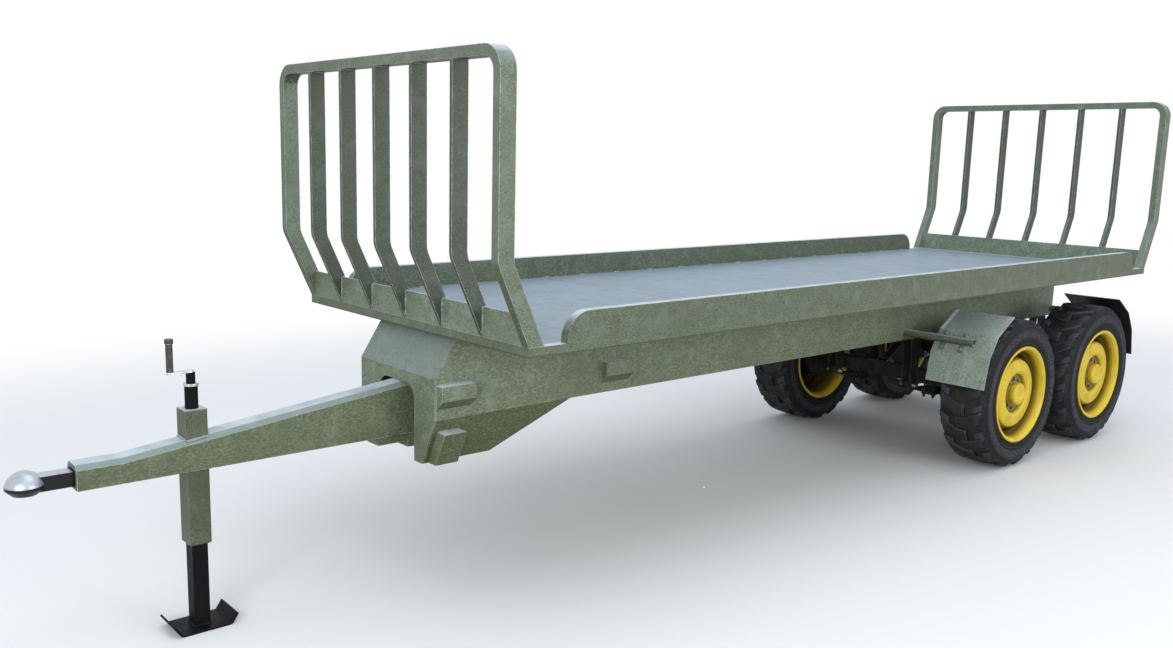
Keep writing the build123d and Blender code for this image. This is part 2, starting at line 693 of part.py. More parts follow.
def rocker():
    """Balance beam between the two springs of a side: two bent cheeks on a boss, with end pins."""
    inside = SPRING_WIDTH / 2 + SIDE_GAP
    outside = inside + ROCKER_CHEEK
    reach = AXLE_SPACING / 2 - SPRING_HALF_LENGTH
    bearing = ROCKER_PIN_DIAMETER + 2 * PIN_GAP
    low, high = ROCKER_END_DIAMETER / 2, ROCKER_BOSS_DIAMETER / 2
    arms = [
        (-reach, eye_z - low),
        (reach, eye_z - low),
        (reach + low, eye_z),
        (high, rocker_z + high / 2),
        (-high, rocker_z + high / 2),
        (-reach - low, eye_z),
    ]
    outline = Sketch() + make_face(Polyline(*arms, close=True))
    plate = prism(outline, "y", inside, outside)
    body = plate + across(plate)
    body = body + rod("y", (0, rocker_z), -outside, outside, ROCKER_BOSS_DIAMETER)
    for x in (-reach, reach):
        body = body + rod("y", (x, eye_z), -outside, outside, EYE_PIN_DIAMETER)
    return body - rod("y", (0, rocker_z), -outside, outside, bearing)


def axle():
    """Square beam with round stubs and a brake backing plate at each end."""
    half, beam = AXLE_BEAM / 2, AXLE_BEAM_LENGTH / 2
    backing = wheel_y + drum_inner() - RUNNING_GAP
    body = block((-half, half), (-beam, beam), (axle_under, axle_z + half))
    stub_end = wheel_y + HUB_FACE
    body = body + rod("y", (0, axle_z), -stub_end, stub_end, STUB_DIAMETER)
    for y in (backing - BACKING_PLATE, -backing):
        body = body + rod("y", (0, axle_z), y, y + BACKING_PLATE, BACKING_DIAMETER)
    return body


def drum_inner():
    """Inboard face of the brake drum, from the wheel's middle plane."""
    return HUB_FACE - DISC_PLATE - BARREL_SPAN - DRUM_DEPTH


def bogie():
    """Two axles on underslung leaf springs, which hang from fixed hangers and a rocker on each side."""
    eye_inside = SPRING_WIDTH / 2 + SIDE_GAP
    rocker_outside = eye_inside + ROCKER_CHEEK + SIDE_GAP
    end_hanger = hanger(eye_z, HANGER_BOSS_DIAMETER, EYE_PIN_DIAMETER, eye_inside)
    mid_hanger = hanger(rocker_z, ROCKER_BOSS_DIAMETER, ROCKER_PIN_DIAMETER, rocker_outside)
    hanger_places = (
        (front_axle_x + SPRING_HALF_LENGTH, end_hanger),
        (bogie_x, mid_hanger),
        (rear_axle_x - SPRING_HALF_LENGTH, end_hanger),
    )
    tracks = (spring_y, -spring_y)
    return {
        "axle_front": Pos(front_axle_x, 0, 0) * axle(),
        "axle_rear": Pos(rear_axle_x, 0, 0) * axle(),
        "leaf_springs": [Pos(x, y, 0) * leaf_spring() for x in AXLES.values() for y in tracks],
        "spring_hangers": [Pos(x, y, 0) * shape for x, shape in hanger_places for y in tracks],
        "spring_rockers": [Pos(bogie_x, y, 0) * rocker() for y in tracks],
    }


def carcass():
    """Tyre without its lugs, about Y: a ring of like flats with the tyre's section."""
    bead_half = RIM_WIDTH / 2 - RIM_WALL - BEAD_GAP
    side = [
        (seat_radius + BEAD_GAP, bead_half),
        (RIM_DIAMETER / 2 + BEAD_GAP, bead_half),
        (tyre_radius - SHOULDER_DROP, TYRE_WIDTH / 2),
        (tyre_radius - LUG_HEIGHT, TREAD_WIDTH / 2),
    ]
    section = make_face(Polyline(*side, *[(r, -y) for r, y in reversed(side)], close=True))
    turn = 360 / TYRE_FLATS
    half_flat = tyre_radius * math.tan(math.radians(turn / 2))
    sector = [(0, 0), (tyre_radius, half_flat), (tyre_radius, -half_flat)]
    flat = extrude(section, amount=half_flat, both=True)
    flat = flat & prism(sector, "y", -TYRE_WIDTH / 2, TYRE_WIDTH / 2)
    return [Rot(0, i * turn, 0) * flat for i in range(TYRE_FLATS)]


def lugs():
    """Bent bars from both shoulders to beyond the tread's middle, staggered, with an edge at the bottom."""
    low, high, half = -LUG_RISE / 2, LUG_RISE / 2, LUG_WIDTH / 2
    line = [(-LUG_CROSSING, low), (LUG_BEND, low), (TREAD_WIDTH / 2, high)]
    outline = [(y, z - half) for y, z in line] + [(y, z + half) for y, z in reversed(line)]
    spread = high + half
    top = math.sqrt(tyre_radius ** 2 - spread ** 2)
    left = prism(outline, "x", tyre_radius - LUG_HEIGHT - LUG_SINK, top)
    pitch = 360 / LUG_COUNT
    first = 90 - math.degrees(math.atan2(spread, top))
    pairs = [(left, first), (across(left), first + pitch / 2)]
    return [Rot(0, start + i * pitch, 0) * lug for lug, start in pairs for i in range(LUG_COUNT)]


def tyre():
    """Low-section tyre about Y with a lugged tread, in its wheel's own place."""
    first, *others = [*carcass(), *lugs()]
    return first.fuse(*others).clean()


def rim():
    """Drop-centre rim with bevelled lips, and a domed disc pressed inwards to its hub face."""
    radius, half = RIM_DIAMETER / 2, RIM_WIDTH / 2
    flange_inside = half - RIM_WALL
    seat_end = flange_inside - SEAT_WIDTH
    side = [
        (radius, flange_inside),
        (seat_radius, flange_inside),
        (seat_radius, seat_end),
        (seat_radius - WELL_DROP, seat_end - WELL_SLOPE),
    ]
    path = side + [(r, -y) for r, y in reversed(side)]
    hollow = beside(path, -RIM_WALL)
    outline = Sketch() + make_face(Polyline(*path, *hollow[::-1], close=True))
    lips = near(outline, hollow[0], hollow[1], hollow[-2], hollow[-1])
    band = revolve(chamfer(lips, RIM_LIP_BEVEL), Axis.Y)

    hole = HUB_HOLE_DIAMETER / 2
    dish = [(hole, HUB_FACE)]
    dish = dish + [(hole + out, HUB_FACE + rise) for out, rise in DISC_INNER_FOLDS]
    dish = dish + [(radius - inset, HUB_FACE + rise) for inset, rise in DISC_OUTER_FOLDS]
    dish = dish + [(seat_radius - WELL_DROP - RIM_WALL, dish[-1][1])]
    return band + spun(sheet(dish, -DISC_PLATE))


def hub():
    """Brake drum, hub barrel and the cap that stands through the wheel disc."""
    bore, stub_end = STUB_DIAMETER / 2 + PIN_GAP, HUB_FACE + 2 * PIN_GAP
    inner, back = drum_inner(), HUB_FACE - DISC_PLATE
    spigot = HUB_HOLE_DIAMETER / 2 - PIN_GAP
    cap = CAP_DIAMETER / 2
    section = [
        (bore, inner),
        (DRUM_DIAMETER / 2, inner),
        (DRUM_DIAMETER / 2, inner + DRUM_DEPTH),
        (HUB_BARREL_DIAMETER / 2, inner + DRUM_DEPTH),
        (HUB_BARREL_DIAMETER / 2, back),
        (spigot, back),
        (spigot, HUB_FACE + CAP_CHAMFER),
        (cap, HUB_FACE + CAP_CHAMFER),
        (cap, CAP_REACH - CAP_CHAMFER),
        (cap - CAP_CHAMFER, CAP_REACH),
        (0, CAP_REACH),
        (0, stub_end),
        (bore, stub_end),
    ]
    return spun(section)


def wheels():
    """Four like wheels, each of tyre, rim and hub."""
    pieces = {}
    for kind, shape in (("tyre", tyre()), ("rim", rim()), ("hub", hub())):
        for axle_name, x in AXLES.items():
            for side_name, side in SIDES.items():
                handed = shape if side > 0 else across(shape)
                pieces[f"{kind}_{axle_name}_{side_name}"] = Pos(x, side * wheel_y, axle_z) * handed
    return pieces


def mudguards():
    """Folded sheet mudguards on the bogie's outer ends, on tube stays from the chassis."""
    path = []
    for degrees, clearance in MUDGUARD_FOLDS:
        reach, angle = tyre_radius + clearance, math.radians(degrees)
        path.append((reach * math.cos(angle), reach * math.sin(angle)))
    outer = wheel_y + TYRE_WIDTH / 2
    guard = prism(sheet(path, -MUDGUARD_SHEET), "y", outer - MUDGUARD_WIDTH, outer)
    (ax, az), (bx, bz) = path[1], path[2]
    tilt = math.atan2(bz - az, bx - ax)
    cos, sin = math.cos(tilt), math.sin(tilt)

    def on_fold(along, out):
        """Place on the middle fold, from its middle: along the sheet and out from it."""
        return (ax + bx) / 2 + along * cos - out * sin, (az + bz) / 2 + along * sin + out * cos

    half = STRAP_LENGTH / 2
    strap = [on_fold(-half, 0), on_fold(half, 0), on_fold(half, STRAP_PLATE), on_fold(-half, STRAP_PLATE)]
    tube = on_fold(0, STRAP_PLATE + STAY_DIAMETER / 2 - STAY_WALL / 2)

    stay = rod("y", tube, chassis_side, STAY_REACH, STAY_DIAMETER)
    for y in STRAP_PLACES:
        stay = stay + prism(strap, "y", y - STRAP_WIDTH / 2, y + STRAP_WIDTH / 2)
    stay = stay - rod("y", tube, chassis_side, STAY_REACH, STAY_DIAMETER - 2 * STAY_WALL)

    front, rear = Pos(front_axle_x, 0, axle_z), Pos(rear_axle_x, 0, axle_z)
    rear_shapes = [mirror(shape, about=Plane.YZ) for shape in (guard, stay)]
    guards, stays = [], []
    for place, shapes in ((front, (guard, stay)), (rear, rear_shapes)):
        for side in (lambda shape: shape, across):
            guards.append(place * side(shapes[0]))
            stays.append(place * side(shapes[1]))
    return {
        "mudguards_front": guards[:2],
        "mudguards_rear": guards[2:],
        "mudguard_stays": stays,
    }


for build in (deck, side_boards, racks, chassis, side_brackets, drawbar, jack, bogie, wheels, mudguards):
    for node, shape in build().items():
        solids = shape if isinstance(shape, list) else [shape]
        whole = Compound(children=[s for piece in solids for s in piece.solids()])
        whole.label = node
        export_step(whole, f"parts/{node}.step")
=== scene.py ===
"""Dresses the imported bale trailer: wheels, welds, fasteners, finishes, studio and camera.

Everything is in metres in the CAD frame: +X is forward, +Y is left, +Z is up, and the floor is at Z = 0.
"""

import logging
import math
import random
from dataclasses import dataclass, field, replace
from enum import Enum
from typing import Iterable, Sequence

import bmesh
import bpy
from mathutils import Matrix, Vector


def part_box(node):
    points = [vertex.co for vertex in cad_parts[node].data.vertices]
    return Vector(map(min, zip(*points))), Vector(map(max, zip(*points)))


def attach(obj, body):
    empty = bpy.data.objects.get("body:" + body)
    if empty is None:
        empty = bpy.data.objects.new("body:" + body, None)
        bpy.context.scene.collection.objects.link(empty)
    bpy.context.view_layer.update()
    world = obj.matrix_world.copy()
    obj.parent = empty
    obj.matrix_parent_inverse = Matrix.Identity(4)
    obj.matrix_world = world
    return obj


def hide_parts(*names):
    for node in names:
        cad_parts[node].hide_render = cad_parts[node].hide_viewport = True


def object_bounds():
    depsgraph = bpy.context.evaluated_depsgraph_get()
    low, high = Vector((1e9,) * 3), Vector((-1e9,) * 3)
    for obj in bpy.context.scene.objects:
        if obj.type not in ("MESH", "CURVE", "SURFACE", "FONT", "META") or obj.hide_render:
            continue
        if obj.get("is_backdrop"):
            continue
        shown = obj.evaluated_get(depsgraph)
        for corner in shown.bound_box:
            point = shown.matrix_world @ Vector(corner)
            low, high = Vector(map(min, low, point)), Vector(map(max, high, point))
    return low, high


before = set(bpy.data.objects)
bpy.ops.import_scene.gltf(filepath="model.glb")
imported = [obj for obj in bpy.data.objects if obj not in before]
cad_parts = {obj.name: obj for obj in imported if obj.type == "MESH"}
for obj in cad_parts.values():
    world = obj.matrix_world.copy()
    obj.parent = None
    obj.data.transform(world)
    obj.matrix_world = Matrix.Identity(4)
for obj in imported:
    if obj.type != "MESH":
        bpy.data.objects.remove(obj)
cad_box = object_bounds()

LOG = logging.getLogger("bale_trailer")

X, Y, Z = Vector((1, 0, 0)), Vector((0, 1, 0)), Vector((0, 0, 1))
SQUARE = ((-1, -1), (1, -1), (1, 1), (-1, 1))

Colour = tuple[float, float, float]
Point2 = tuple[float, float]
Point3 = tuple[float, float, float]
Socket = bpy.types.NodeSocket


class Side(Enum):
    """Which side of the trailer a piece is on, with the sign of its Y."""

    LEFT = 1
    RIGHT = -1

    @property
    def word(self) -> str:
        """Side as it stands in the node names."""
        return self.name.lower()


class AxleRow(Enum):
    """Front or rear axle of the bogie."""

    FRONT = "front"
    REAR = "rear"


class Slot(Enum):
    """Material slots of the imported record."""

    GREEN = "green_paint"
    YELLOW = "wheel_yellow"
    RUBBER = "tyre_rubber"
    RUNNING_GEAR = "running_gear_black"
    BLACK = "black_steel"
    BRIGHT = "bright_steel"


class Shade:
    """One material's node tree, grown around its Principled shader."""

    def __init__(self, name: str) -> None:
        """Starts an empty finish.

        Args:
            name: the material's name.
        """
        self.material = bpy.data.materials.new(name)
        self.material.use_nodes = True
        self.tree = self.material.node_tree
        self.shader = self.tree.nodes["Principled BSDF"]
        self.place = self.add("ShaderNodeTexCoord").outputs["Object"]

    def add(self, kind: str, **settings: object) -> bpy.types.Node:
        """Adds a node.

        Args:
            kind: the node's type name.
            settings: attributes to set on it.

        Returns:
            The new node.
        """
        node = self.tree.nodes.new(kind)
        for key, value in settings.items():
            setattr(node, key, value)
        return node

    def feed(self, socket: Socket, value: object) -> None:
        """Links a socket, or sets it to a plain value.

        Args:
            socket: the input to fill.
            value: another node's output, a number, a vector or a colour.
        """
        if isinstance(value, bpy.types.NodeSocket):
            self.tree.links.new(value, socket)
        elif socket.type == "RGBA":
            socket.default_value = (*value, 1.0)
        else:
            socket.default_value = value

    def set(self, **inputs: object) -> None:
        """Fills the Principled shader's inputs, named with underscores for spaces."""
        for key, value in inputs.items():
            self.feed(self.shader.inputs[key.replace("_", " ")], value)

    def noise(self, scale: float, detail: float = 3.0, stretch: Sequence[float] = (1, 1, 1)) -> Socket:
        """Soft noise in the object's own coordinates.

        Args:
            scale: features to the metre.
            detail: octaves.
            stretch: how much finer it is along each axis.

        Returns:
            The noise value, about 0.3 to 0.7.
        """
        mapping = self.add("ShaderNodeMapping")
        mapping.inputs["Scale"].default_value = stretch
        self.tree.links.new(self.place, mapping.inputs["Vector"])
        noise = self.add("ShaderNodeTexNoise")
        self.tree.links.new(mapping.outputs["Vector"], noise.inputs["Vector"])
        noise.inputs["Scale"].default_value = scale
        noise.inputs["Detail"].default_value = detail
        return noise.outputs["Fac"]

    def ramp(self, value: Socket, low: float, high: float, start: float = 0.0, end: float = 1.0) -> Socket:
        """Stretches a range of values to another, with clamped ends.

        Args:
            value: the value to stretch.
            low: value that gives start.
            high: value that gives end.
            start: result at low.
            end: result at high.

        Returns:
            The stretched value.
        """
        node = self.add("ShaderNodeMapRange", interpolation_type="SMOOTHSTEP")
        self.tree.links.new(value, node.inputs["Value"])
        for key, number in (("From Min", low), ("From Max", high), ("To Min", start), ("To Max", end)):
            node.inputs[key].default_value = number
        return node.outputs["Result"]

    def calc(self, kind: str, first: object, second: object = 0.0) -> Socket:
        """One sum on two values.

        Args:
            kind: the Math node's operation.
            first: socket or number.
            second: socket or number.

        Returns:
            The result.
        """
        node = self.add("ShaderNodeMath", operation=kind)
        self.feed(node.inputs[0], first)
        self.feed(node.inputs[1], second)
        return node.outputs[0]

    def mix(self, share: object, first: object, second: object) -> Socket:
        """Mixes two colours.

        Args:
            share: how much of the second, from 0 to 1.
            first: colour or socket.
            second: colour or socket.

        Returns:
            The mixed colour.
        """
        node = self.add("ShaderNodeMix", data_type="RGBA")
        self.feed(node.inputs[0], share)
        self.feed(node.inputs[6], first)
        self.feed(node.inputs[7], second)
        return node.outputs[2]

    def facing(self, axis: int) -> Socket:
        """One coordinate of the surface's own normal.

        Args:
            axis: 0, 1 or 2.

        Returns:
            The coordinate, from -1 to 1.
        """
        parts = self.add("ShaderNodeSeparateXYZ")
        self.tree.links.new(self.add("ShaderNodeNewGeometry").outputs["Normal"], parts.inputs[0])
        return parts.outputs[axis]

    def coordinate(self, axis: int) -> Socket:
        """One coordinate of the place on the object.

        Args:
            axis: 0, 1 or 2.

        Returns:
            The coordinate in metres.
        """
        parts = self.add("ShaderNodeSeparateXYZ")
        self.tree.links.new(self.place, parts.inputs[0])
        return parts.outputs[axis]

    def radius(self, weights: Sequence[float] = (1, 0, 1)) -> Socket:
        """Distance from the object's own Y axis, or from its middle.

        Args:
            weights: how much each axis counts.

        Returns:
            The distance.
        """
        flat = self.add("ShaderNodeVectorMath", operation="MULTIPLY")
        self.feed(flat.inputs[0], self.place)
        flat.inputs[1].default_value = weights
        length = self.add("ShaderNodeVectorMath", operation="LENGTH")
        self.feed(length.inputs[0], flat.outputs[0])
        return length.outputs["Value"]

    def edges(self, radius: float) -> Socket:
        """Mask of the outer edges.

        Args:
            radius: how far from the edge the mask reaches.

        Returns:
            1 on the edge and 0 away from it.
        """
        bevel = self.add("ShaderNodeBevel", samples=4)
        bevel.inputs["Radius"].default_value = radius
        dot = self.add("ShaderNodeVectorMath", operation="DOT_PRODUCT")
        self.tree.links.new(bevel.outputs["Normal"], dot.inputs[0])
        self.tree.links.new(self.add("ShaderNodeNewGeometry").outputs["Normal"], dot.inputs[1])
        return self.ramp(dot.outputs["Value"], 0.995, 0.82)

    def bump(self, height: Socket, depth: float, strength: float = 1.0, round_edges: float = 0.0) -> None:
        """Puts a relief on the shader's normal.

        Args:
            height: the relief, from 0 to 1.
            depth: its depth in metres.
            strength: how much of it shows.
            round_edges: radius by which edges look rounded.
        """
        node = self.add("ShaderNodeBump")
        node.inputs["Strength"].default_value = strength
        node.inputs["Distance"].default_value = depth
        self.tree.links.new(height, node.inputs["Height"])
        if round_edges:
            bevel = self.add("ShaderNodeBevel", samples=4)
            bevel.inputs["Radius"].default_value = round_edges
            self.tree.links.new(bevel.outputs["Normal"], node.inputs["Normal"])
        self.tree.links.new(node.outputs["Normal"], self.shader.inputs["Normal"])


@dataclass(frozen=True)
class SagePaint:
    """Weathered sage green paint on steel: finely mottled, streaked, darker towards the bottom, pale on its
    edges from wear and a painted highlight, dusted on top under a painted sky sheen, and with painted shade
    on its down-facing faces.
    """

    name: str = "sage_paint"
    body: Colour = (0.152, 0.188, 0.126)
    dark: Colour = (0.098, 0.122, 0.074)
    pale: Colour = (0.228, 0.275, 0.222)
    edge: Colour = (0.66, 0.72, 0.74)
    dust_and_sheen: Colour = (0.62, 0.70, 0.74)
    haze: Colour = (0.24, 0.31, 0.34)
    grime_and_shade: Colour = (0.064, 0.075, 0.028)
    dust_and_sheen_share: float = 0.88
    edge_share: float = 0.95
    edge_height: float = 0.0
    edge_round: float = 0.004
    seam_pitch: float = 0.0
    dirty_edge: float = 0.0
    slot: Slot = Slot.GREEN

    def toned(self, name: str, level: float, **changes: float) -> "SagePaint":
        """Same paint in a lighter or darker tone.

        Args:
            name: the new finish's name.
            level: what its colours are multiplied by.
            changes: other fields that differ.

        Returns:
            The new finish.
        """
        colours = ("body", "dark", "pale", "grime_and_shade")
        tones = {key: tuple(level * value for value in getattr(self, key)) for key in colours}
        return replace(self, name=name, **tones, **changes)

    def tint(self, shade: Shade) -> tuple[Socket, Socket, Socket]:
        """Paint colour before dust and wear.

        Args:
            shade: the material in the making.

        Returns:
            The colour, the mottle and the grain.
        """
        cloud, patch = shade.noise(1.5, 6), shade.noise(9, 6)
        mottle, grain = shade.noise(105, 7, (0.55, 0.8, 1.1)), shade.noise(330, 3)
        streak = shade.noise(5.5, 5, (1.5, 1.5, 0.14))
        colour = shade.mix(shade.ramp(mottle, 0.36, 0.58), self.dark, self.body)
        colour = shade.mix(shade.ramp(patch, 0.46, 0.74, 0.0, 0.50), colour, self.pale)
        colour = shade.mix(shade.ramp(mottle, 0.53, 0.70, 0.0, 0.90), colour, self.pale)
        colour = shade.mix(shade.ramp(cloud, 0.52, 0.30, 0.0, 0.40), colour, self.dark)
        colour = shade.mix(shade.ramp(streak, 0.56, 0.76, 0.0, 0.40), colour, self.dark)
        pits = shade.ramp(shade.noise(30, 9), 0.60, 0.66, 0.0, 0.85)
        return shade.mix(pits, colour, self.dark), mottle, grain

    def build(self) -> bpy.types.Material:
        """Makes the material.

        Returns:
            The new material.
        """
        shade = Shade(self.name)
        colour, mottle, grain = self.tint(shade)
        height = shade.coordinate(2)
        up, blotch = shade.facing(2), shade.ramp(shade.noise(3.1, 5), 0.36, 0.66, 0.15, 0.60)
        # Darker towards the bottom, in blotches.
        darker_low = shade.calc("MULTIPLY", shade.ramp(height, 1.35, 0.80), blotch)
        colour = shade.mix(darker_low, colour, self.grime_and_shade)
        # Painted shade: down-facing faces are darkened, with the mottle left showing.
        bare = shade.ramp(mottle, 0.40, 0.62, 1.0, 0.42)
        under = shade.calc("MULTIPLY", shade.ramp(up, -0.12, -0.42), bare)
        colour = shade.mix(under, colour, self.grime_and_shade)
        # Painted shadow: a thin dark band along the part's lowest few millimetres, below the given height.
        if self.dirty_edge:
            line = shade.ramp(height, self.dirty_edge + 0.010, self.dirty_edge + 0.006, 0.0, 0.85)
            colour = shade.mix(line, colour, self.grime_and_shade)
        # Painted sky sheen: faces tilted upwards turn blue-grey.
        colour = shade.mix(shade.ramp(up, 0.22, 0.56, 0.0, 0.45), colour, self.haze)
        # Upward faces are dusted and carry a painted sky sheen, pale blue-grey.
        lying = shade.ramp(up, 0.62, 0.99, 0.0, self.dust_and_sheen_share)
        dust_and_sheen_mask = shade.calc("MULTIPLY", lying, shade.ramp(shade.noise(7, 6), 0.30, 0.62, 0.66, 1.0))
        colour = shade.mix(dust_and_sheen_mask, colour, self.dust_and_sheen)
        if self.seam_pitch:
            colour = shade.mix(self.seams(shade), colour, self.dark)
        # Pale edges, partly wear and partly a painted highlight.
        if self.edge_share:
            patchy = shade.ramp(shade.noise(26, 5), 0.34, 0.62, 0.25, self.edge_share)
            worn = shade.calc("MULTIPLY", shade.edges(0.007), patchy)
            above = shade.ramp(height, self.edge_height - 0.01, self.edge_height)
            colour = shade.mix(shade.calc("MULTIPLY", worn, above), colour, self.edge)
        shade.set(Base_Color=colour, Roughness=shade.ramp(mottle, 0.3, 0.7, 0.40, 0.62))
        shade.set(Specular_IOR_Level=0.40)
        relief = shade.calc("ADD", mottle, shade.calc("MULTIPLY", grain, 0.6))
        shade.bump(relief, 0.0014, 0.55, self.edge_round)
        return shade.material

    def seams(self, shade: Shade) -> Socket:
        """Mask of the joints between floor sheets.

        Args:
            shade: the material in the making.

        Returns:
            1 on the joints, which cross the deck at an even pitch.
        """
        along = shade.calc("DIVIDE", shade.coordinate(0), self.seam_pitch)
        off = shade.calc("ABSOLUTE", shade.calc("SUBTRACT", shade.calc("FRACT", along), 0.5))
        return shade.ramp(off, 0.006 / self.seam_pitch, 0.002 / self.seam_pitch, 0.0, 0.8)


@dataclass(frozen=True)
class GuardPaint:
    """Sage paint lightened by painted light, with a pale inner edge that is a painted highlight, and black
    on the faces that look back at the wheel.
    """

    axle: Point2
    inner: float
    name: str = "guard_paint"
    # Much lighter than the sage paint elsewhere: painted light on the guards.
    paint: SagePaint = SagePaint(
        "guard_green", (0.365, 0.450, 0.392), (0.242, 0.300, 0.245), (0.515, 0.610, 0.575),
        grime_and_shade=(0.160, 0.185, 0.095),
    )
    inner_black: Colour = (0.010, 0.010, 0.011)
    strip: Colour = (0.86, 0.93, 0.98)
    highlight_width: float = 0.036
    slot: Slot = Slot.GREEN

    def build(self) -> bpy.types.Material:
        """Makes the material.

        Returns:
            The new material.
        """
        shade = Shade(self.name)
        colour, mottle, grain = self.paint.tint(shade)
        # Upward faces are dusted and lightened with painted light.
        lying = shade.ramp(shade.facing(2), 0.45, 0.98, 0.0, 0.28)
        colour = shade.mix(lying, colour, self.paint.dust_and_sheen)
        # Pale edges, partly wear and partly a painted highlight.
        patchy = shade.ramp(shade.noise(21, 4), 0.38, 0.62, 0.45, 1.0)
        colour = shade.mix(shade.calc("MULTIPLY", shade.edges(0.009), patchy), colour, self.paint.edge)
        # Painted highlight: a pale band along the inner edge of the upper faces, where a flange catches the
        # sky.
        across = shade.calc("ABSOLUTE", shade.coordinate(1))
        border = self.inner + self.highlight_width
        band = shade.ramp(across, border + 0.003, border - 0.003)
        band = shade.calc("MULTIPLY", band, shade.ramp(shade.facing(2), 0.60, 0.72))
        colour = shade.mix(band, colour, self.strip)
        # Black on the faces that look back at the wheel.
        turned = []
        for axis, middle in zip((0, 2), self.axle):
            away = shade.calc("SUBTRACT", shade.coordinate(axis), middle)
            turned.append(shade.calc("MULTIPLY", shade.facing(axis), away))
        inside = shade.ramp(shade.calc("ADD", *turned), -0.30, -0.34)
        colour = shade.mix(inside, colour, self.inner_black)
        shade.set(Base_Color=colour, Roughness=shade.ramp(mottle, 0.3, 0.7, 0.44, 0.64))
        shade.set(Specular_IOR_Level=0.40)
        shade.bump(shade.calc("ADD", mottle, shade.calc("MULTIPLY", grain, 0.6)), 0.0014, 0.55, 0.003)
        return shade.material


@dataclass(frozen=True)
class WheelYellow:
    """Yellow wheel enamel with brown dirty specks; painted shade in the hollows, the deep groove, the
    recess and on the faces that look back inwards; and a black brake drum where a drum radius is given.
    """

    name: str = "wheel_yellow_enamel"
    body: Colour = (0.78, 0.57, 0.034)
    worn: Colour = (0.60, 0.41, 0.026)
    dirt: Colour = (0.080, 0.045, 0.010)
    groove_shade: Colour = (0.066, 0.040, 0.011)
    shade_and_drum_black: Colour = (0.012, 0.012, 0.015)
    groove_radius: float = 0.304
    groove_depth: Point2 = (0.206, 0.096)
    recess_radius: float = 0.176
    recess_depth: Point2 = (0.170, 0.122)
    drum_radius: float = 0.0
    slot: Slot = Slot.YELLOW

    def build(self) -> bpy.types.Material:
        """Makes the material.

        Returns:
            The new material.
        """
        shade = Shade(self.name)
        cloud, grain = shade.noise(7, 5), shade.noise(160, 3)
        colour = shade.mix(shade.ramp(cloud, 0.40, 0.72, 0.0, 0.6), self.body, self.worn)
        specks = shade.ramp(shade.noise(75, 4), 0.60, 0.74, 0.0, 0.5)
        colour = shade.mix(specks, colour, self.dirt)
        # Painted shade in the hollows, from the ambient occlusion.
        hollow = shade.add("ShaderNodeAmbientOcclusion", samples=4)
        hollow.inputs["Distance"].default_value = 0.16
        colour = shade.mix(shade.ramp(hollow.outputs["AO"], 0.60, 0.22, 0.0, 0.75), colour, self.dirt)
        # Painted shade in the deep groove between the disc and the rim's lip.
        outside = shade.ramp(shade.radius(), self.groove_radius - 0.012, self.groove_radius + 0.016)
        depth = shade.ramp(shade.calc("ABSOLUTE", shade.coordinate(1)), *self.groove_depth, 0.0, 0.95)
        colour = shade.mix(shade.calc("MULTIPLY", outside, depth), colour, self.groove_shade)
        # Painted shade in the recess round the hub.
        within = shade.ramp(shade.radius(), self.recess_radius + 0.012, self.recess_radius - 0.010)
        sunk = shade.ramp(shade.calc("ABSOLUTE", shade.coordinate(1)), *self.recess_depth, 0.0, 0.62)
        colour = shade.mix(shade.calc("MULTIPLY", within, sunk), colour, self.dirt)
        # Painted shade on the faces that look back inwards, such as the disc's back.
        inward = shade.calc("MULTIPLY", shade.facing(1), shade.coordinate(1))
        colour = shade.mix(shade.ramp(inward, -0.015, -0.045, 0.0, 0.97), colour, self.shade_and_drum_black)
        # The brake drum, beyond the given radius, is black.
        if self.drum_radius:
            drum = shade.ramp(shade.radius(), self.drum_radius - 0.002, self.drum_radius + 0.002)
            colour = shade.mix(drum, colour, self.shade_and_drum_black)
        shade.set(Base_Color=colour, Roughness=shade.ramp(cloud, 0.3, 0.7, 0.30, 0.48))
        shade.set(Specular_IOR_Level=0.32)
        shade.bump(grain, 0.0006, 0.35)
        return shade.material


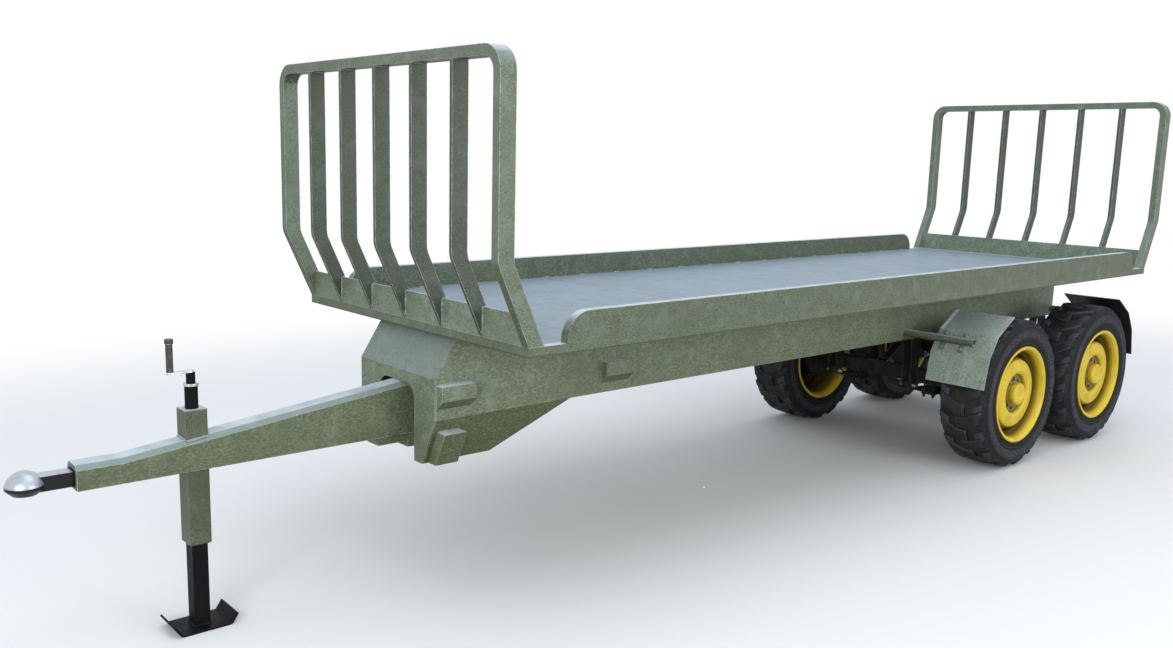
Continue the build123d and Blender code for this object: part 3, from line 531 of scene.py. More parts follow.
@dataclass(frozen=True)
class TyreRubber:
    """Charcoal rubber: darker in the grooves, with a dusted band on the sidewall, a painted highlight on
    the lug walls and painted shade on the sideways-facing flanks.
    """

    name: str = "tyre_rubber_dust_and_sheeny"
    body: Colour = (0.046, 0.046, 0.046)
    groove: Colour = (0.021, 0.021, 0.021)
    shaded_flank: Colour = (0.008, 0.008, 0.009)
    dust_and_sheen: Colour = (0.072, 0.079, 0.096)
    lug_walls: Point2 = (0.640, 0.657)
    band: Point2 = (0.500, 0.574)
    slot: Slot = Slot.RUBBER

    def build(self) -> bpy.types.Material:
        """Makes the material.

        Returns:
            The new material.
        """
        shade = Shade(self.name)
        radius = shade.radius()
        grain, cloud = shade.noise(240, 4), shade.noise(9, 5)
        colour = shade.mix(shade.ramp(cloud, 0.35, 0.70), self.groove, self.body)
        colour = shade.mix(shade.ramp(grain, 0.45, 0.75, 0.0, 0.22), colour, self.dust_and_sheen)
        shaded_flank = shade.ramp(shade.calc("ABSOLUTE", shade.facing(1)), 0.55, 0.85)
        # Painted highlight: the walls of the lugs turn pale blue-grey.
        foot = shade.ramp(radius, self.lug_walls[0] - 0.004, self.lug_walls[0] + 0.004)
        crest = shade.ramp(radius, self.lug_walls[1] + 0.001, self.lug_walls[1] - 0.004)
        walls = shade.calc("MULTIPLY", foot, crest)
        walls = shade.calc("MULTIPLY", walls, shade.ramp(shaded_flank, 0.6, 0.2, 0.0, 0.8))
        colour = shade.mix(walls, colour, self.dust_and_sheen)
        # Painted shade: the sideways-facing flanks are darkened to near black.
        colour = shade.mix(shade.calc("MULTIPLY", shaded_flank, 0.85), colour, self.shaded_flank)
        rising = shade.ramp(radius, self.band[0] - 0.012, self.band[0] + 0.012)
        falling = shade.ramp(radius, self.band[1] + 0.018, self.band[1] - 0.018)
        rough = shade.ramp(shade.noise(60, 5), 0.38, 0.64, 0.08, 0.80)
        band = shade.calc("MULTIPLY", shade.calc("MULTIPLY", rising, falling), rough)
        colour = shade.mix(band, colour, self.dust_and_sheen)
        shade.set(Base_Color=colour, Roughness=shade.ramp(cloud, 0.3, 0.7, 0.58, 0.76))
        shade.set(Specular_IOR_Level=0.18)
        shade.bump(grain, 0.0014, 0.6)
        return shade.material


@dataclass(frozen=True)
class DarkSteel:
    """Black painted steel with dust in its pores and grey wear on its edges."""

    name: str
    body: Colour
    haze: Colour
    edge: Colour
    roughness: tuple[float, float]
    haze_share: float
    slot: Slot

    def build(self) -> bpy.types.Material:
        """Makes the material.

        Returns:
            The new material.
        """
        shade = Shade(self.name)
        cloud, grain = shade.noise(6, 5), shade.noise(190, 3)
        colour = shade.mix(shade.ramp(cloud, 0.42, 0.74, 0.0, self.haze_share), self.body, self.haze)
        lying = shade.ramp(shade.facing(2), 0.4, 0.9, 0.0, self.haze_share)
        colour = shade.mix(lying, colour, self.haze)
        patchy = shade.ramp(shade.noise(33, 4), 0.40, 0.62, 0.05, 0.6)
        colour = shade.mix(shade.calc("MULTIPLY", shade.edges(0.004), patchy), colour, self.edge)
        shade.set(Base_Color=colour, Roughness=shade.ramp(cloud, 0.3, 0.7, *self.roughness))
        shade.set(Specular_IOR_Level=0.08)
        shade.bump(grain, 0.0007, 0.4, 0.002)
        return shade.material


@dataclass(frozen=True)
class BrightSteel:
    """Bare or plated steel with a brushed grain and dull patches."""

    name: str = "bright_plated_steel"
    body: Colour = (0.62, 0.64, 0.66)
    dull: Colour = (0.36, 0.37, 0.38)
    slot: Slot = Slot.BRIGHT

    def build(self) -> bpy.types.Material:
        """Makes the material.

        Returns:
            The new material.
        """
        shade = Shade(self.name)
        cloud, brush = shade.noise(24, 4), shade.noise(120, 3, (1, 1, 6))
        colour = shade.mix(shade.ramp(cloud, 0.42, 0.72), self.body, self.dull)
        shade.set(Base_Color=colour, Metallic=1.0, Roughness=shade.ramp(brush, 0.3, 0.7, 0.24, 0.46))
        shade.bump(brush, 0.0004, 0.4, 0.0015)
        return shade.material


@dataclass(frozen=True)
class CouplingSteel:
    """Black coupling with a painted sky reflection, pale and metallic, on its upward faces."""

    name: str = "coupling_painted_sky_glint"
    black: Colour = (0.011, 0.011, 0.012)
    bright: Colour = (0.47, 0.53, 0.60)
    slot: Slot = Slot.BLACK

    def build(self) -> bpy.types.Material:
        """Makes the material.

        Returns:
            The new material.
        """
        shade = Shade(self.name)
        cloud, grain = shade.noise(22, 5), shade.noise(170, 3)
        # Painted sky reflection: upward faces turn pale blue-grey and metallic.
        top = shade.ramp(shade.facing(2), 0.12, 0.34)
        top = shade.calc("MULTIPLY", top, shade.ramp(cloud, 0.30, 0.44, 0.72, 1.0))
        shade.set(Base_Color=shade.mix(top, self.black, self.bright))
        shade.set(Metallic=shade.calc("MULTIPLY", top, 0.85))
        shade.set(Roughness=shade.ramp(cloud, 0.3, 0.7, 0.30, 0.44), Specular_IOR_Level=0.22)
        shade.bump(grain, 0.0006, 0.4, 0.004)
        return shade.material


@dataclass(frozen=True)
class GripRubber:
    """Dull olive grey rubber of the crank's grip."""

    name: str = "grip_rubber"
    body: Colour = (0.085, 0.090, 0.078)
    dark: Colour = (0.040, 0.042, 0.038)
    slot: Slot = Slot.BRIGHT

    def build(self) -> bpy.types.Material:
        """Makes the material.

        Returns:
            The new material.
        """
        shade = Shade(self.name)
        cloud, grain = shade.noise(40, 4), shade.noise(260, 3)
        colour = shade.mix(shade.ramp(cloud, 0.36, 0.68), self.dark, self.body)
        shade.set(Base_Color=colour, Roughness=shade.ramp(grain, 0.3, 0.7, 0.66, 0.85))
        shade.bump(grain, 0.0006, 0.5)
        return shade.material


Finish = (
    SagePaint | GuardPaint | WheelYellow | TyreRubber | DarkSteel | BrightSteel | CouplingSteel
    | GripRubber
)


class Paintshop:
    """Every finish of the trailer, made once and handed out by its field's name."""

    def __init__(self) -> None:
        """Mixes the finishes."""
        self.sage = SagePaint()
        self.blued = replace(self.sage, body=(0.146, 0.186, 0.142), pale=(0.220, 0.272, 0.240))
        # Lighter and darker copies of the one sage paint, one per part, stand in for the light and shade
        # that part gets: painted light on the hoops, kick plates and frame, painted shade on the bars,
        # drawbar, sleeve, boards and rails.
        self.bars = self.blued.toned("sage_bars", 0.51)
        self.hoops = self.blued.toned("sage_hoops", 1.12)
        self.kick = self.blued.toned("sage_kick", 1.36)
        self.frame = self.sage.toned("sage_frame", 1.25, edge_share=0.55)
        # The brackets' upward faces are near white: a painted highlight, with some dusting.
        self.brackets = replace(self.frame, name="sage_brackets", dust_and_sheen=(0.93, 0.96, 0.98), dust_and_sheen_share=1.0)
        self.olive = replace(self.sage, body=(0.152, 0.190, 0.108), pale=(0.228, 0.272, 0.190))
        self.drawbar = self.olive.toned("sage_drawbar", 0.95)
        self.sleeve = self.olive.toned("sage_sleeve", 0.64, edge_share=0.3, edge_round=0.012)
        self.boards = self.sage.toned("sage_boards", 0.81, edge_height=1.76, edge_round=0.0)
        # The rails get a painted shadow along their lower edge.
        self.rails = self.sage.toned("sage_rails", 0.86, edge_share=0.0, edge_round=0.0, dirty_edge=1.595)
        # The deck floor's pale blue-grey top is dusted paint under a painted sky sheen.
        self.floor = SagePaint(
            name="sage_floor", dust_and_sheen=(0.275, 0.352, 0.430), dust_and_sheen_share=0.86,
            edge_share=0.0, edge_round=0.0, seam_pitch=1.54,
        )
        self.yellow = WheelYellow()
        self.hub_yellow = WheelYellow("hub_yellow_enamel", drum_radius=0.115)
        self.rubber = TyreRubber()
        self.gear = DarkSteel(
            "running_gear_satin", (0.024, 0.024, 0.025), (0.074, 0.072, 0.068), (0.13, 0.125, 0.12),
            (0.50, 0.72), 0.55, Slot.RUNNING_GEAR,
        )
        self.black = DarkSteel(
            "black_gloss_steel", (0.0056, 0.0058, 0.0066), (0.012, 0.0125, 0.014), (0.036, 0.037, 0.040),
            (0.40, 0.58), 0.35, Slot.BLACK,
        )
        self.bright = BrightSteel()
        self.nuts = BrightSteel("dull_zinc_nuts", (0.30, 0.30, 0.29), (0.13, 0.125, 0.115))
        self.coupling = CouplingSteel()
        self.grip = GripRubber()
        self.made: dict[str, bpy.types.Material] = {}

    def coat(self, piece: bpy.types.Object, finish: Finish) -> None:
        """Gives a piece or a CAD node one finish all over.

        Args:
            piece: what is painted.
            finish: the finish, which is made the first time it is used.
        """
        if finish.name not in self.made:
            self.made[finish.name] = finish.build()
        piece.data.materials.clear()
        piece.data.materials.append(self.made[finish.name])


class Stock:
    """Mesh under construction: rings, lathed walls, bars and caps, in one list of faces."""

    def __init__(self) -> None:
        """Starts with no faces."""
        self.points: list[Vector] = []
        self.faces: list[tuple[int, ...]] = []

    def strip(self, rings: Sequence[Sequence[Vector]], looped: bool = False) -> None:
        """Joins closed rings of points by quads.

        Args:
            rings: rows of equally many points.
            looped: whether the last row meets the first.
        """
        base, width = len(self.points), len(rings[0])
        for ring in rings:
            self.points.extend(ring)
        rows = len(rings) if looped else len(rings) - 1
        for i in range(rows):
            near, far = base + i * width, base + (i + 1) % len(rings) * width
            for j in range(width):
                ahead = (j + 1) % width
                self.faces.append((near + j, near + ahead, far + ahead, far + j))

    def cap(self, ring: Sequence[Vector], flip: bool) -> None:
        """Closes a ring by one face.

        Args:
            ring: the ring's points in order.
            flip: whether the face looks the other way.
        """
        base = len(self.points)
        self.points.extend(ring)
        order = range(base, base + len(ring))
        self.faces.append(tuple(reversed(order)) if flip else tuple(order))

    def bar(self, rings: Sequence[Sequence[Vector]], turned: bool = False) -> None:
        """Joins rings of points and closes both ends.

        Args:
            rings: rows of equally many points.
            turned: whether the points run the other way round.
        """
        self.strip(rings)
        self.cap(rings[0], not turned)
        self.cap(rings[-1], turned)

    def lathe(self, profile: Sequence[Point2], steps: int, looped: bool) -> None:
        """Turns a profile about Y.

        Args:
            profile: radius and distance along Y of each point.
            steps: how many flats round the axis.
            looped: whether the profile closes on itself.
        """
        turns = [2 * math.pi * k / steps for k in range(steps)]
        rings = [[Vector((r * math.cos(t), y, r * math.sin(t))) for t in turns] for r, y in profile]
        self.strip(rings, looped)

    def tube(self, path: Sequence[Vector], radius: float, sides: int = 12) -> None:
        """Round bar along a path, closed at both ends.

        Args:
            path: points along its middle.
            radius: its radius.
            sides: how many flats it has.
        """
        rings: list[list[Vector]] = []
        turns = [2 * math.pi * k / sides for k in range(sides)]
        across = (path[1] - path[0]).orthogonal()
        for i, here in enumerate(path):
            ahead = (path[min(i + 1, len(path) - 1)] - path[max(i - 1, 0)]).normalized()
            across = (across - ahead * across.dot(ahead)).normalized()
            above = ahead.cross(across)
            rings.append([here + radius * (math.cos(t) * across + math.sin(t) * above) for t in turns])
        self.bar(rings)

    def add(self, other: "Stock", place: Matrix) -> None:
        """Takes in another mesh.

        Args:
            other: the mesh that is copied.
            place: where it goes.
        """
        base = len(self.points)
        self.points.extend(place @ p for p in other.points)
        turned = place.determinant() < 0
        for face in other.faces:
            moved = tuple(base + i for i in face)
            self.faces.append(moved[::-1] if turned else moved)

    def piece(self, name: str, origin: Vector = Vector(), smooth: float = 35.0) -> bpy.types.Object:
        """Makes the object.

        Args:
            name: the piece's name.
            origin: where the mesh's own origin stands.
            smooth: edges sharper than this many degrees stay sharp.

        Returns:
            The new object, linked to the scene.
        """
        mesh = bpy.data.meshes.new(name)
        mesh.from_pydata([tuple(p) for p in self.points], [], self.faces)
        work = bmesh.new()
        work.from_mesh(mesh)
        bmesh.ops.remove_doubles(work, verts=work.verts, dist=1e-6)
        bmesh.ops.recalc_face_normals(work, faces=work.faces)
        work.to_mesh(mesh)
        work.free()
        piece = bpy.data.objects.new(name, mesh)
        piece.location = origin
        bpy.context.scene.collection.objects.link(piece)
        mesh.polygons.foreach_set("use_smooth", [True] * len(mesh.polygons))
        mesh.set_sharp_from_angle(angle=math.radians(smooth))
        return piece


def rounded(corners: Sequence[tuple[float, float, float]], steps: int, closed: bool) -> list[Point2]:
    """Profile with rounded corners.

    Args:
        corners: both coordinates and the rounding radius of each corner.
        steps: points in each rounding.
        closed: whether the last corner meets the first.

    Returns:
        The profile's points in order.
    """
    points: list[Point2] = []
    count = len(corners)
    for i, (x, y, radius) in enumerate(corners):
        if radius <= 0 or (not closed and i in (0, count - 1)):
            points.append((x, y))
            continue
        here = Vector((x, y))
        before = Vector(corners[i - 1][:2]) - here
        after = Vector(corners[(i + 1) % count][:2]) - here
        half = before.angle(after) / 2
        if half > math.radians(89):
            points.append((x, y))
            continue
        reach = min(radius / math.tan(half), before.length * 0.48, after.length * 0.48)
        size = reach * math.tan(half)
        middle = here + (before.normalized() + after.normalized()).normalized() * (size / math.sin(half))
        start = here + before.normalized() * reach - middle
        end = here + after.normalized() * reach - middle
        sweep = start.angle_signed(end)
        for k in range(steps + 1):
            turn = -sweep * k / steps
            point = middle + Matrix.Rotation(turn, 2) @ start
            points.append((point.x, point.y))
    return points


def hexagon(across: float, height: float, bore: float = 0.0) -> Stock:
    """Hexagon nut or bolt head along +Z with bevelled corners.

    Args:
        across: size across its flats.
        height: its height.
        bore: diameter of the stud that stands out of it, or 0 for a bolt head.

    Returns:
        The mesh, with its seat at Z = 0.
    """
    stock = Stock()
    corner = across / math.sqrt(3)
    turns = [math.pi * k / 6 for k in range(12)]

    def ring(share: float, z: float) -> list[Vector]:
        """One twelve-sided ring of the hexagon at a height."""
        radii = [corner * share if k % 2 == 0 else min(corner * share, across / 2) for k in range(12)]
        return [Vector((r * math.cos(t), r * math.sin(t), z)) for r, t in zip(radii, turns)]

    low, high = height * 0.08, height * 0.86
    stock.bar([ring(0.92, 0), ring(1, low), ring(1, high), ring(0.90, height)])
    if bore:
        stud = [(bore / 2, height * 0.9), (bore / 2, height * 1.28), (bore * 0.38, height * 1.42)]
        stock.bar([[Vector((r * math.cos(t), r * math.sin(t), z)) for t in turns] for r, z in stud])
    return stock


def washer(diameter: float, height: float) -> Stock:
    """Round washer along +Z with a bevelled rim.

    Args:
        diameter: its outer size.
        height: its thickness.

    Returns:
        The closed mesh, with its seat half a millimetre below Z = 0.
    """
    stock = Stock()
    turns = [math.pi * k / 10 for k in range(20)]
    levels = [(diameter / 2, -0.0005), (diameter / 2, height * 0.7), (diameter * 0.46, height)]
    stock.bar([[Vector((r * math.cos(t), r * math.sin(t), z)) for t in turns] for r, z in levels])
    return stock


def fastener(across: float, stud: bool) -> Stock:
    """Nut on its washer, or a bolt head on one.

    Args:
        across: size across the flats.
        stud: whether a stud's end stands out of it.

    Returns:
        The mesh along +Z, with its seat at Z = 0.
    """
    stock = washer(across * 1.7, across * 0.14)
    head = hexagon(across, across * 0.66, across * 0.6 if stud else 0.0)
    stock.add(head, Matrix.Translation((0, 0, across * 0.12)))
    return stock


def facing(place: Vector, direction: Sequence[float], turn: float = 0.0) -> Matrix:
    """Place for a piece that is made along +Z.

    Args:
        place: where its seat goes.
        direction: where its +Z goes.
        turn: how far it is turned about itself, in radians.

    Returns:
        The matrix.
    """
    swing = Z.rotation_difference(Vector(direction)).to_matrix().to_4x4()
    return Matrix.Translation(place) @ swing @ Matrix.Rotation(turn, 4, "Z")


@dataclass(frozen=True)
class Weld:
    """One rippled fillet weld in the corner where two faces meet."""

    start: Vector
    end: Vector
    first: Vector
    second: Vector
    leg: float = 0.007
    ripple: float = 0.009

    def ring(self, place: Vector, size: float) -> list[Vector]:
        """Section of the bead at one place, with its corner first."""
        shares = ((0.0, 0.0), (1.0, 0.0), (0.80, 0.32), (0.55, 0.55), (0.32, 0.80), (0.0, 1.0))
        return [place + size * (a * self.first + b * self.second) for a, b in shares]

    def lay(self, stock: Stock, chance: random.Random) -> None:
        """Lays the bead.

        Args:
            stock: the mesh that takes it in.
            chance: where its small unevenness comes from.
        """
        count = max(4, round((self.end - self.start).length / self.ripple) * 2)
        rings = []
        for i in range(count + 1):
            size = self.leg * (1 + (0.12 if i % 2 else -0.12) + chance.uniform(-0.06, 0.06))
            if i in (0, count):
                size *= 0.4
            rings.append(self.ring(self.start.lerp(self.end, i / count), size))
        stock.bar(rings)

    @staticmethod
    def around(stock: Stock, centre: Vector, radius: float, out: float, leg: float = 0.008) -> None:
        """Lays a round bead where a tube along Y meets a flat plate.

        Args:
            stock: the mesh that takes it in.
            centre: the tube's middle on the plate.
            radius: the tube's radius.
            out: which way along Y the tube leaves the plate.
            leg: the bead's size.
        """
        rings, steps = [], 48
        for k in range(steps):
            turn = 2 * math.pi * k / steps
            radial = Vector((math.cos(turn), 0, math.sin(turn)))
            size = leg * (1.10 if k % 2 else 0.92)
            shares = ((-0.2, 0.0), (1.0, 0.0), (0.60, 0.60), (-0.2, 1.0))
            rings.append([centre + radial * (radius + a * size) + out * b * size * Y for a, b in shares])
        stock.strip(rings, True)


class SubAssembly:
    """What every group of pieces can do: paint CAD nodes, seat pieces on a body and report them."""

    shop: Paintshop

    def dress(self, node: str, finish: Finish) -> None:
        """Paints a CAD node that stays in sight.

        Args:
            node: its name.
            finish: its finish.
        """
        self.shop.coat(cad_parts[node], finish)
        LOG.info("node %s: %s", node, finish.name)

    def seat(self, piece: bpy.types.Object, finish: Finish, body: str, *stands_for: str) -> None:
        """Paints a piece, sets it on its body and hides the CAD nodes it stands for.

        Args:
            piece: the new piece.
            finish: its finish.
            body: the CAD body that carries it.
            stands_for: nodes that it replaces.
        """
        self.shop.coat(piece, finish)
        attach(piece, body)
        if stands_for:
            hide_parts(*stands_for)
        LOG.info("piece %s on %s: %d faces", piece.name, body, len(piece.data.polygons))

    def weld(self, name: str, beads: Iterable[Weld], finish: Finish, body: str = "trailer") -> None:
        """Builds one piece from a group of welds.

        Args:
            name: the piece's name.
            beads: its welds.
            finish: its finish.
            body: the CAD body that carries it.
        """
        stock, chance = Stock(), random.Random(name)
        for bead in beads:
            bead.lay(stock, chance)
        self.seat(stock.piece(name, smooth=50), finish, body)


@dataclass
class Wheel(SubAssembly):
    """One wheel: lugged tyre, dished rim, hub with cap, wheel nuts and valve."""

    shop: Paintshop
    row: AxleRow
    side: Side
    radius: float = 0.660
    half_width: float = 0.220
    tread_half: float = 0.172
    carcass_drop: float = 0.025
    crown: float = 0.006
    rim_radius: float = 0.428
    rim_half: float = 0.216
    flange: float = 0.030
    wall: float = 0.016
    lug_count: int = 16
    lug_width: float = 0.104
    lug_rise: float = 0.080
    lug_bend: float = 0.035
    lug_crossing: float = 0.040
    lug_lead: float = 0.082
    lug_overhang: float = 0.026
    lug_bevel: float = 0.006
    lug_taper: float = 0.012
    lug_end_drop: float = 0.020
    shoulder: float = 0.16
    tread_root: float = 0.012
    lug_side_root: float = 0.050
    block_start: float = 0.108
    block_overhang: float = 0.022
    block_lead: float = 0.094
    block_slope: float = 0.55
    block_side_root: float = 0.045
    valve_radius: float = 0.0048
    valve_cap_radius: float = 0.0068
    hub_face: float = 0.120
    nut_count: int = 10
    nut_circle: float = 0.132
    nut_across: float = 0.025
    steps: int = 128

    @property
    def key(self) -> str:
        """Axle and side as they stand in the node names."""
        return f"{self.row.value}_{self.side.word}"

    @property
    def centre(self) -> Vector:
        """Middle of the wheel, from its CAD rim."""
        low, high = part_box(f"rim_{self.key}")
        return (low + high) / 2

    def handed(self, stock: Stock) -> Stock:
        """Mesh of a left wheel, turned over for a wheel on the right.

        Args:
            stock: the mesh as a left wheel has it.

        Returns:
            The mesh for this wheel's side.
        """
        turned = Stock()
        turned.add(stock, Matrix.Diagonal((1, self.side.value, 1, 1)))
        return turned

    def tread_radius(self, y: float) -> float:
        """Radius of the lugs' tops at a distance from the middle plane."""
        return self.radius - self.crown * (y / self.tread_half) ** 2

    def side_profile(self) -> list[Point2]:
        """Half of the tyre's section, from its bead to the middle of the tread.

        Returns:
            Radius and distance from the middle plane of each point.
        """
        bead = self.rim_half - self.wall - 0.0005
        seat = self.rim_radius - self.flange + 0.0005
        lip, base = self.rim_radius, self.radius - self.carcass_drop
        corners = [
            (seat, 0.10, 0),
            (seat, bead, 0.004),
            (lip + 0.004, bead, 0.008),
            (lip + 0.012, bead + 0.010, 0.005),
            (lip + 0.026, bead + 0.010, 0.005),
            (lip + 0.032, bead + 0.003, 0.004),
            (lip + 0.044, bead + 0.004, 0.004),
            (lip + 0.050, bead + 0.013, 0.005),
            (lip + 0.064, bead + 0.014, 0.005),
            (lip + 0.070, bead + 0.009, 0.004),
            (lip + 0.080, self.half_width - 0.003, 0.010),
            (lip + 0.150, self.half_width - 0.001, 0.030),
            (base - 0.032, self.half_width - 0.012, 0.022),
            (base - 0.004, self.tread_half + 0.006, 0.022),
            (base, 0.0, 0),
        ]
        return rounded(corners, 3, False)

    def on_tread(self, rows: Sequence[Point2], middle: float, y: float) -> list[Vector]:
        """Section of a tread bar, wrapped round the tyre.

        Args:
            rows: distance round the tread and radius of each point.
            middle: where round the tread the bar's middle lies.
            y: distance from the tyre's middle plane.

        Returns:
            The section's points.
        """
        turned = [((middle + across) / self.radius, r) for across, r in rows]
        return [Vector((r * math.cos(turn), y, r * math.sin(turn))) for turn, r in turned]

    def lug(self) -> Stock:
        """One bent bar of the left half of the tread, about the +X direction.

        Returns:
            The closed mesh.
        """
        half, bevel = self.lug_width / 2, self.lug_bevel
        outer = self.tread_half + self.lug_overhang
        slope = self.lug_rise / (self.tread_half - self.lug_bend)
        stations = [-self.lug_crossing, -0.02, 0.0, self.lug_bend - 0.012, self.lug_bend + 0.012]
        stations += [0.075, 0.105, 0.135, 0.160, self.tread_half, outer]
        rings = []
        for y in stations:
            middle = -self.lug_rise / 2 + max(0.0, y - self.lug_bend) * slope
            top = self.tread_radius(min(y, self.tread_half))
            if y > self.tread_half:
                top -= self.lug_end_drop
            taper = self.lug_taper if y in (stations[0], stations[-1]) else 0.0
            drop = self.lug_side_root if y > self.shoulder else self.tread_root
            root = self.radius - self.carcass_drop - drop
            rows = [
                (-half - bevel, root),
                (-half, top - 0.008 - taper * 0.5),
                (-half + bevel, top - taper),
                (-half / 3, top - taper * 0.5),
                (half / 3, top - taper * 0.5),
                (half - bevel, top - taper),
                (half, top - 0.008 - taper * 0.5),
                (half + bevel, root),
            ]
            rings.append(self.on_tread(rows, middle, y))
        stock = Stock()
        stock.bar(rings, True)
        return stock

    def shoulder_block(self) -> Stock:
        """Short bar between two lugs near the outer edge of the tread.

        Returns:
            The closed mesh.
        """
        rings, outer = [], self.tread_half + self.block_overhang
        for y in (self.block_start, 0.122, 0.150, self.tread_half, outer):
            middle = self.block_lead + (y - self.block_start) * self.block_slope
            ends = y in (self.block_start, outer)
            top = self.tread_radius(min(y, self.tread_half)) - (0.014 if ends else 0.004)
            drop = self.block_side_root if y > self.shoulder else self.tread_root
            root = self.radius - self.carcass_drop - drop
            rows = [
                (-0.036, root), (-0.031, top - 0.006), (-0.025, top),
                (0.025, top), (0.031, top - 0.006), (0.036, root),
            ]
            rings.append(self.on_tread(rows, middle, y))
        stock = Stock()
        stock.bar(rings, True)
        return stock

    def tyre(self) -> None:
        """Builds the tyre: rounded carcass, sidewall rings and staggered lugs."""
        half = self.side_profile()
        whole = half + [(r, -y) for r, y in reversed(half[:-1])]
        stock = Stock()
        stock.lathe(whole, self.steps, True)
        first = math.pi / 2 - math.atan2(self.lug_lead, self.radius - self.crown)
        pitch = 2 * math.pi / self.lug_count
        bars = Stock()
        bars.add(self.lug(), Matrix.Identity(4))
        bars.add(self.shoulder_block(), Matrix.Identity(4))
        for k in range(self.lug_count):
            turn = first + k * pitch
            stock.add(bars, Matrix.Rotation(turn, 4, "Y"))
            stock.add(bars, Matrix.Rotation(turn + pitch / 2, 4, "Y") @ Matrix.Diagonal((1, -1, 1, 1)))
        piece = self.handed(stock).piece(f"tyre_lugged_{self.key}", self.centre, 40)
        self.seat(piece, self.shop.rubber, f"wheel_{self.key}", f"tyre_{self.key}")

    def rim(self) -> None:
        """Builds the rim: rounded lips, bead seats, drop centre and a domed disc."""
        seat = self.rim_radius - self.flange
        well, mouth = seat - 0.026, self.rim_half - self.wall
        outside = [
            (self.rim_radius, mouth, 0.003),
            (seat, mouth, 0.004),
            (seat, mouth - 0.080, 0.010),
            (well, mouth - 0.110, 0.012),
        ]
        inside = [
            (well - self.wall, mouth - 0.114, 0.020),
            (seat - self.wall - 0.004, mouth - 0.084, 0.018),
            (seat - self.wall, self.rim_half - 0.050, 0.060),
            (seat - self.wall + 0.014, self.rim_half - 0.010, 0.034),
            (self.rim_radius - 0.010, self.rim_half, 0.014),
            (self.rim_radius, self.rim_half - 0.004, 0.003),
        ]
        section = outside + [(r, -y, f) for r, y, f in reversed(outside)]
        section += [(r, -y, f) for r, y, f in reversed(inside)] + inside
        stock = Stock()
        stock.lathe(rounded(section, 4, True), self.steps, True)
        face, plate, hole = self.hub_face, 0.014, 0.110
        dish = [
            (hole, 0.0, 0.0),
            (hole + 0.054, 0.0, 0.008),
            (hole + 0.066, 0.034, 0.016),
            (hole + 0.092, 0.052, 0.030),
            (self.rim_radius - 0.132, 0.036, 0.040),
            (self.rim_radius - 0.111, -0.002, 0.022),
            (self.rim_radius - 0.102, -0.062, 0.010),
            (well - self.wall + 0.004, -0.066, 0.0),
        ]
        front = [(r, face + y) for r, y in rounded(dish, 5, False)]
        back = [(r - plate * 0.25, y - plate) for r, y in front]
        stock.lathe(front + back[::-1], self.steps, True)
        piece = self.handed(stock).piece(f"rim_dished_{self.key}", self.centre, 40)
        self.seat(piece, self.shop.yellow, f"wheel_{self.key}", f"rim_{self.key}")

    def nuts(self) -> None:
        """Builds the ring of wheel nuts with their studs."""
        nut = fastener(self.nut_across, True)
        stock = Stock()
        for k in range(self.nut_count):
            turn = 2 * math.pi * (k + 0.5) / self.nut_count
            place = Vector((math.cos(turn), 0, math.sin(turn))) * self.nut_circle
            place.y = self.hub_face
            stock.add(nut, facing(place, Y, turn))
        piece = self.handed(stock).piece(f"wheel_nuts_{self.key}", self.centre)
        self.seat(piece, self.shop.nuts, f"wheel_{self.key}")

    def valve(self) -> None:
        """Builds the valve stem with its cap in the groove of the rim."""
        stem, cap = Stock(), Stock()
        foot, knee, tip = Vector((0, 0.050, 0.372)), Vector((0, 0.078, 0.362)), Vector((0, 0.128, 0.352))
        stem.tube([foot, knee, tip], self.valve_radius)
        ends = (tip - Vector((0, 0.012, -0.0024)), tip + Vector((0, 0.010, -0.002)))
        cap.tube([ends[0], tip, ends[1]], self.valve_cap_radius)
        stem.add(cap, Matrix.Identity(4))
        piece = self.handed(stem).piece(f"valve_{self.key}", self.centre)
        self.seat(piece, self.shop.nuts, f"wheel_{self.key}")

    def hub(self) -> None:
        """Builds brake drum, barrel and rounded hub cap."""
        face, cap = self.hub_face, 0.098
        section = [
            (0.0, face + 0.004, 0.0),
            (0.0402, face + 0.004, 0.0),
            (0.0402, face - 0.244, 0.0),
            (0.199, face - 0.244, 0.006),
            (0.205, face - 0.232, 0.006),
            (0.205, face - 0.080, 0.012),
            (0.120, face - 0.074, 0.010),
            (0.120, face - 0.014, 0.0),
            (0.1098, face - 0.014, 0.0),
            (0.1098, face + 0.013, 0.004),
            (cap, face + 0.014, 0.003),
            (cap, face + 0.080, 0.024),
            (0.046, face + 0.081, 0.006),
            (0.042, face + 0.077, 0.004),
            (0.0, face + 0.077, 0.0),
        ]
        stock = Stock()
        stock.lathe(rounded(section, 5, False), self.steps // 2, False)
        piece = self.handed(stock).piece(f"hub_capped_{self.key}", self.centre, 40)
        self.seat(piece, self.shop.hub_yellow, f"wheel_{self.key}", f"hub_{self.key}")

    def build(self) -> None:
        """Builds and dresses the whole wheel."""
        self.tyre()
        self.rim()
        self.hub()
        self.nuts()
        self.valve()


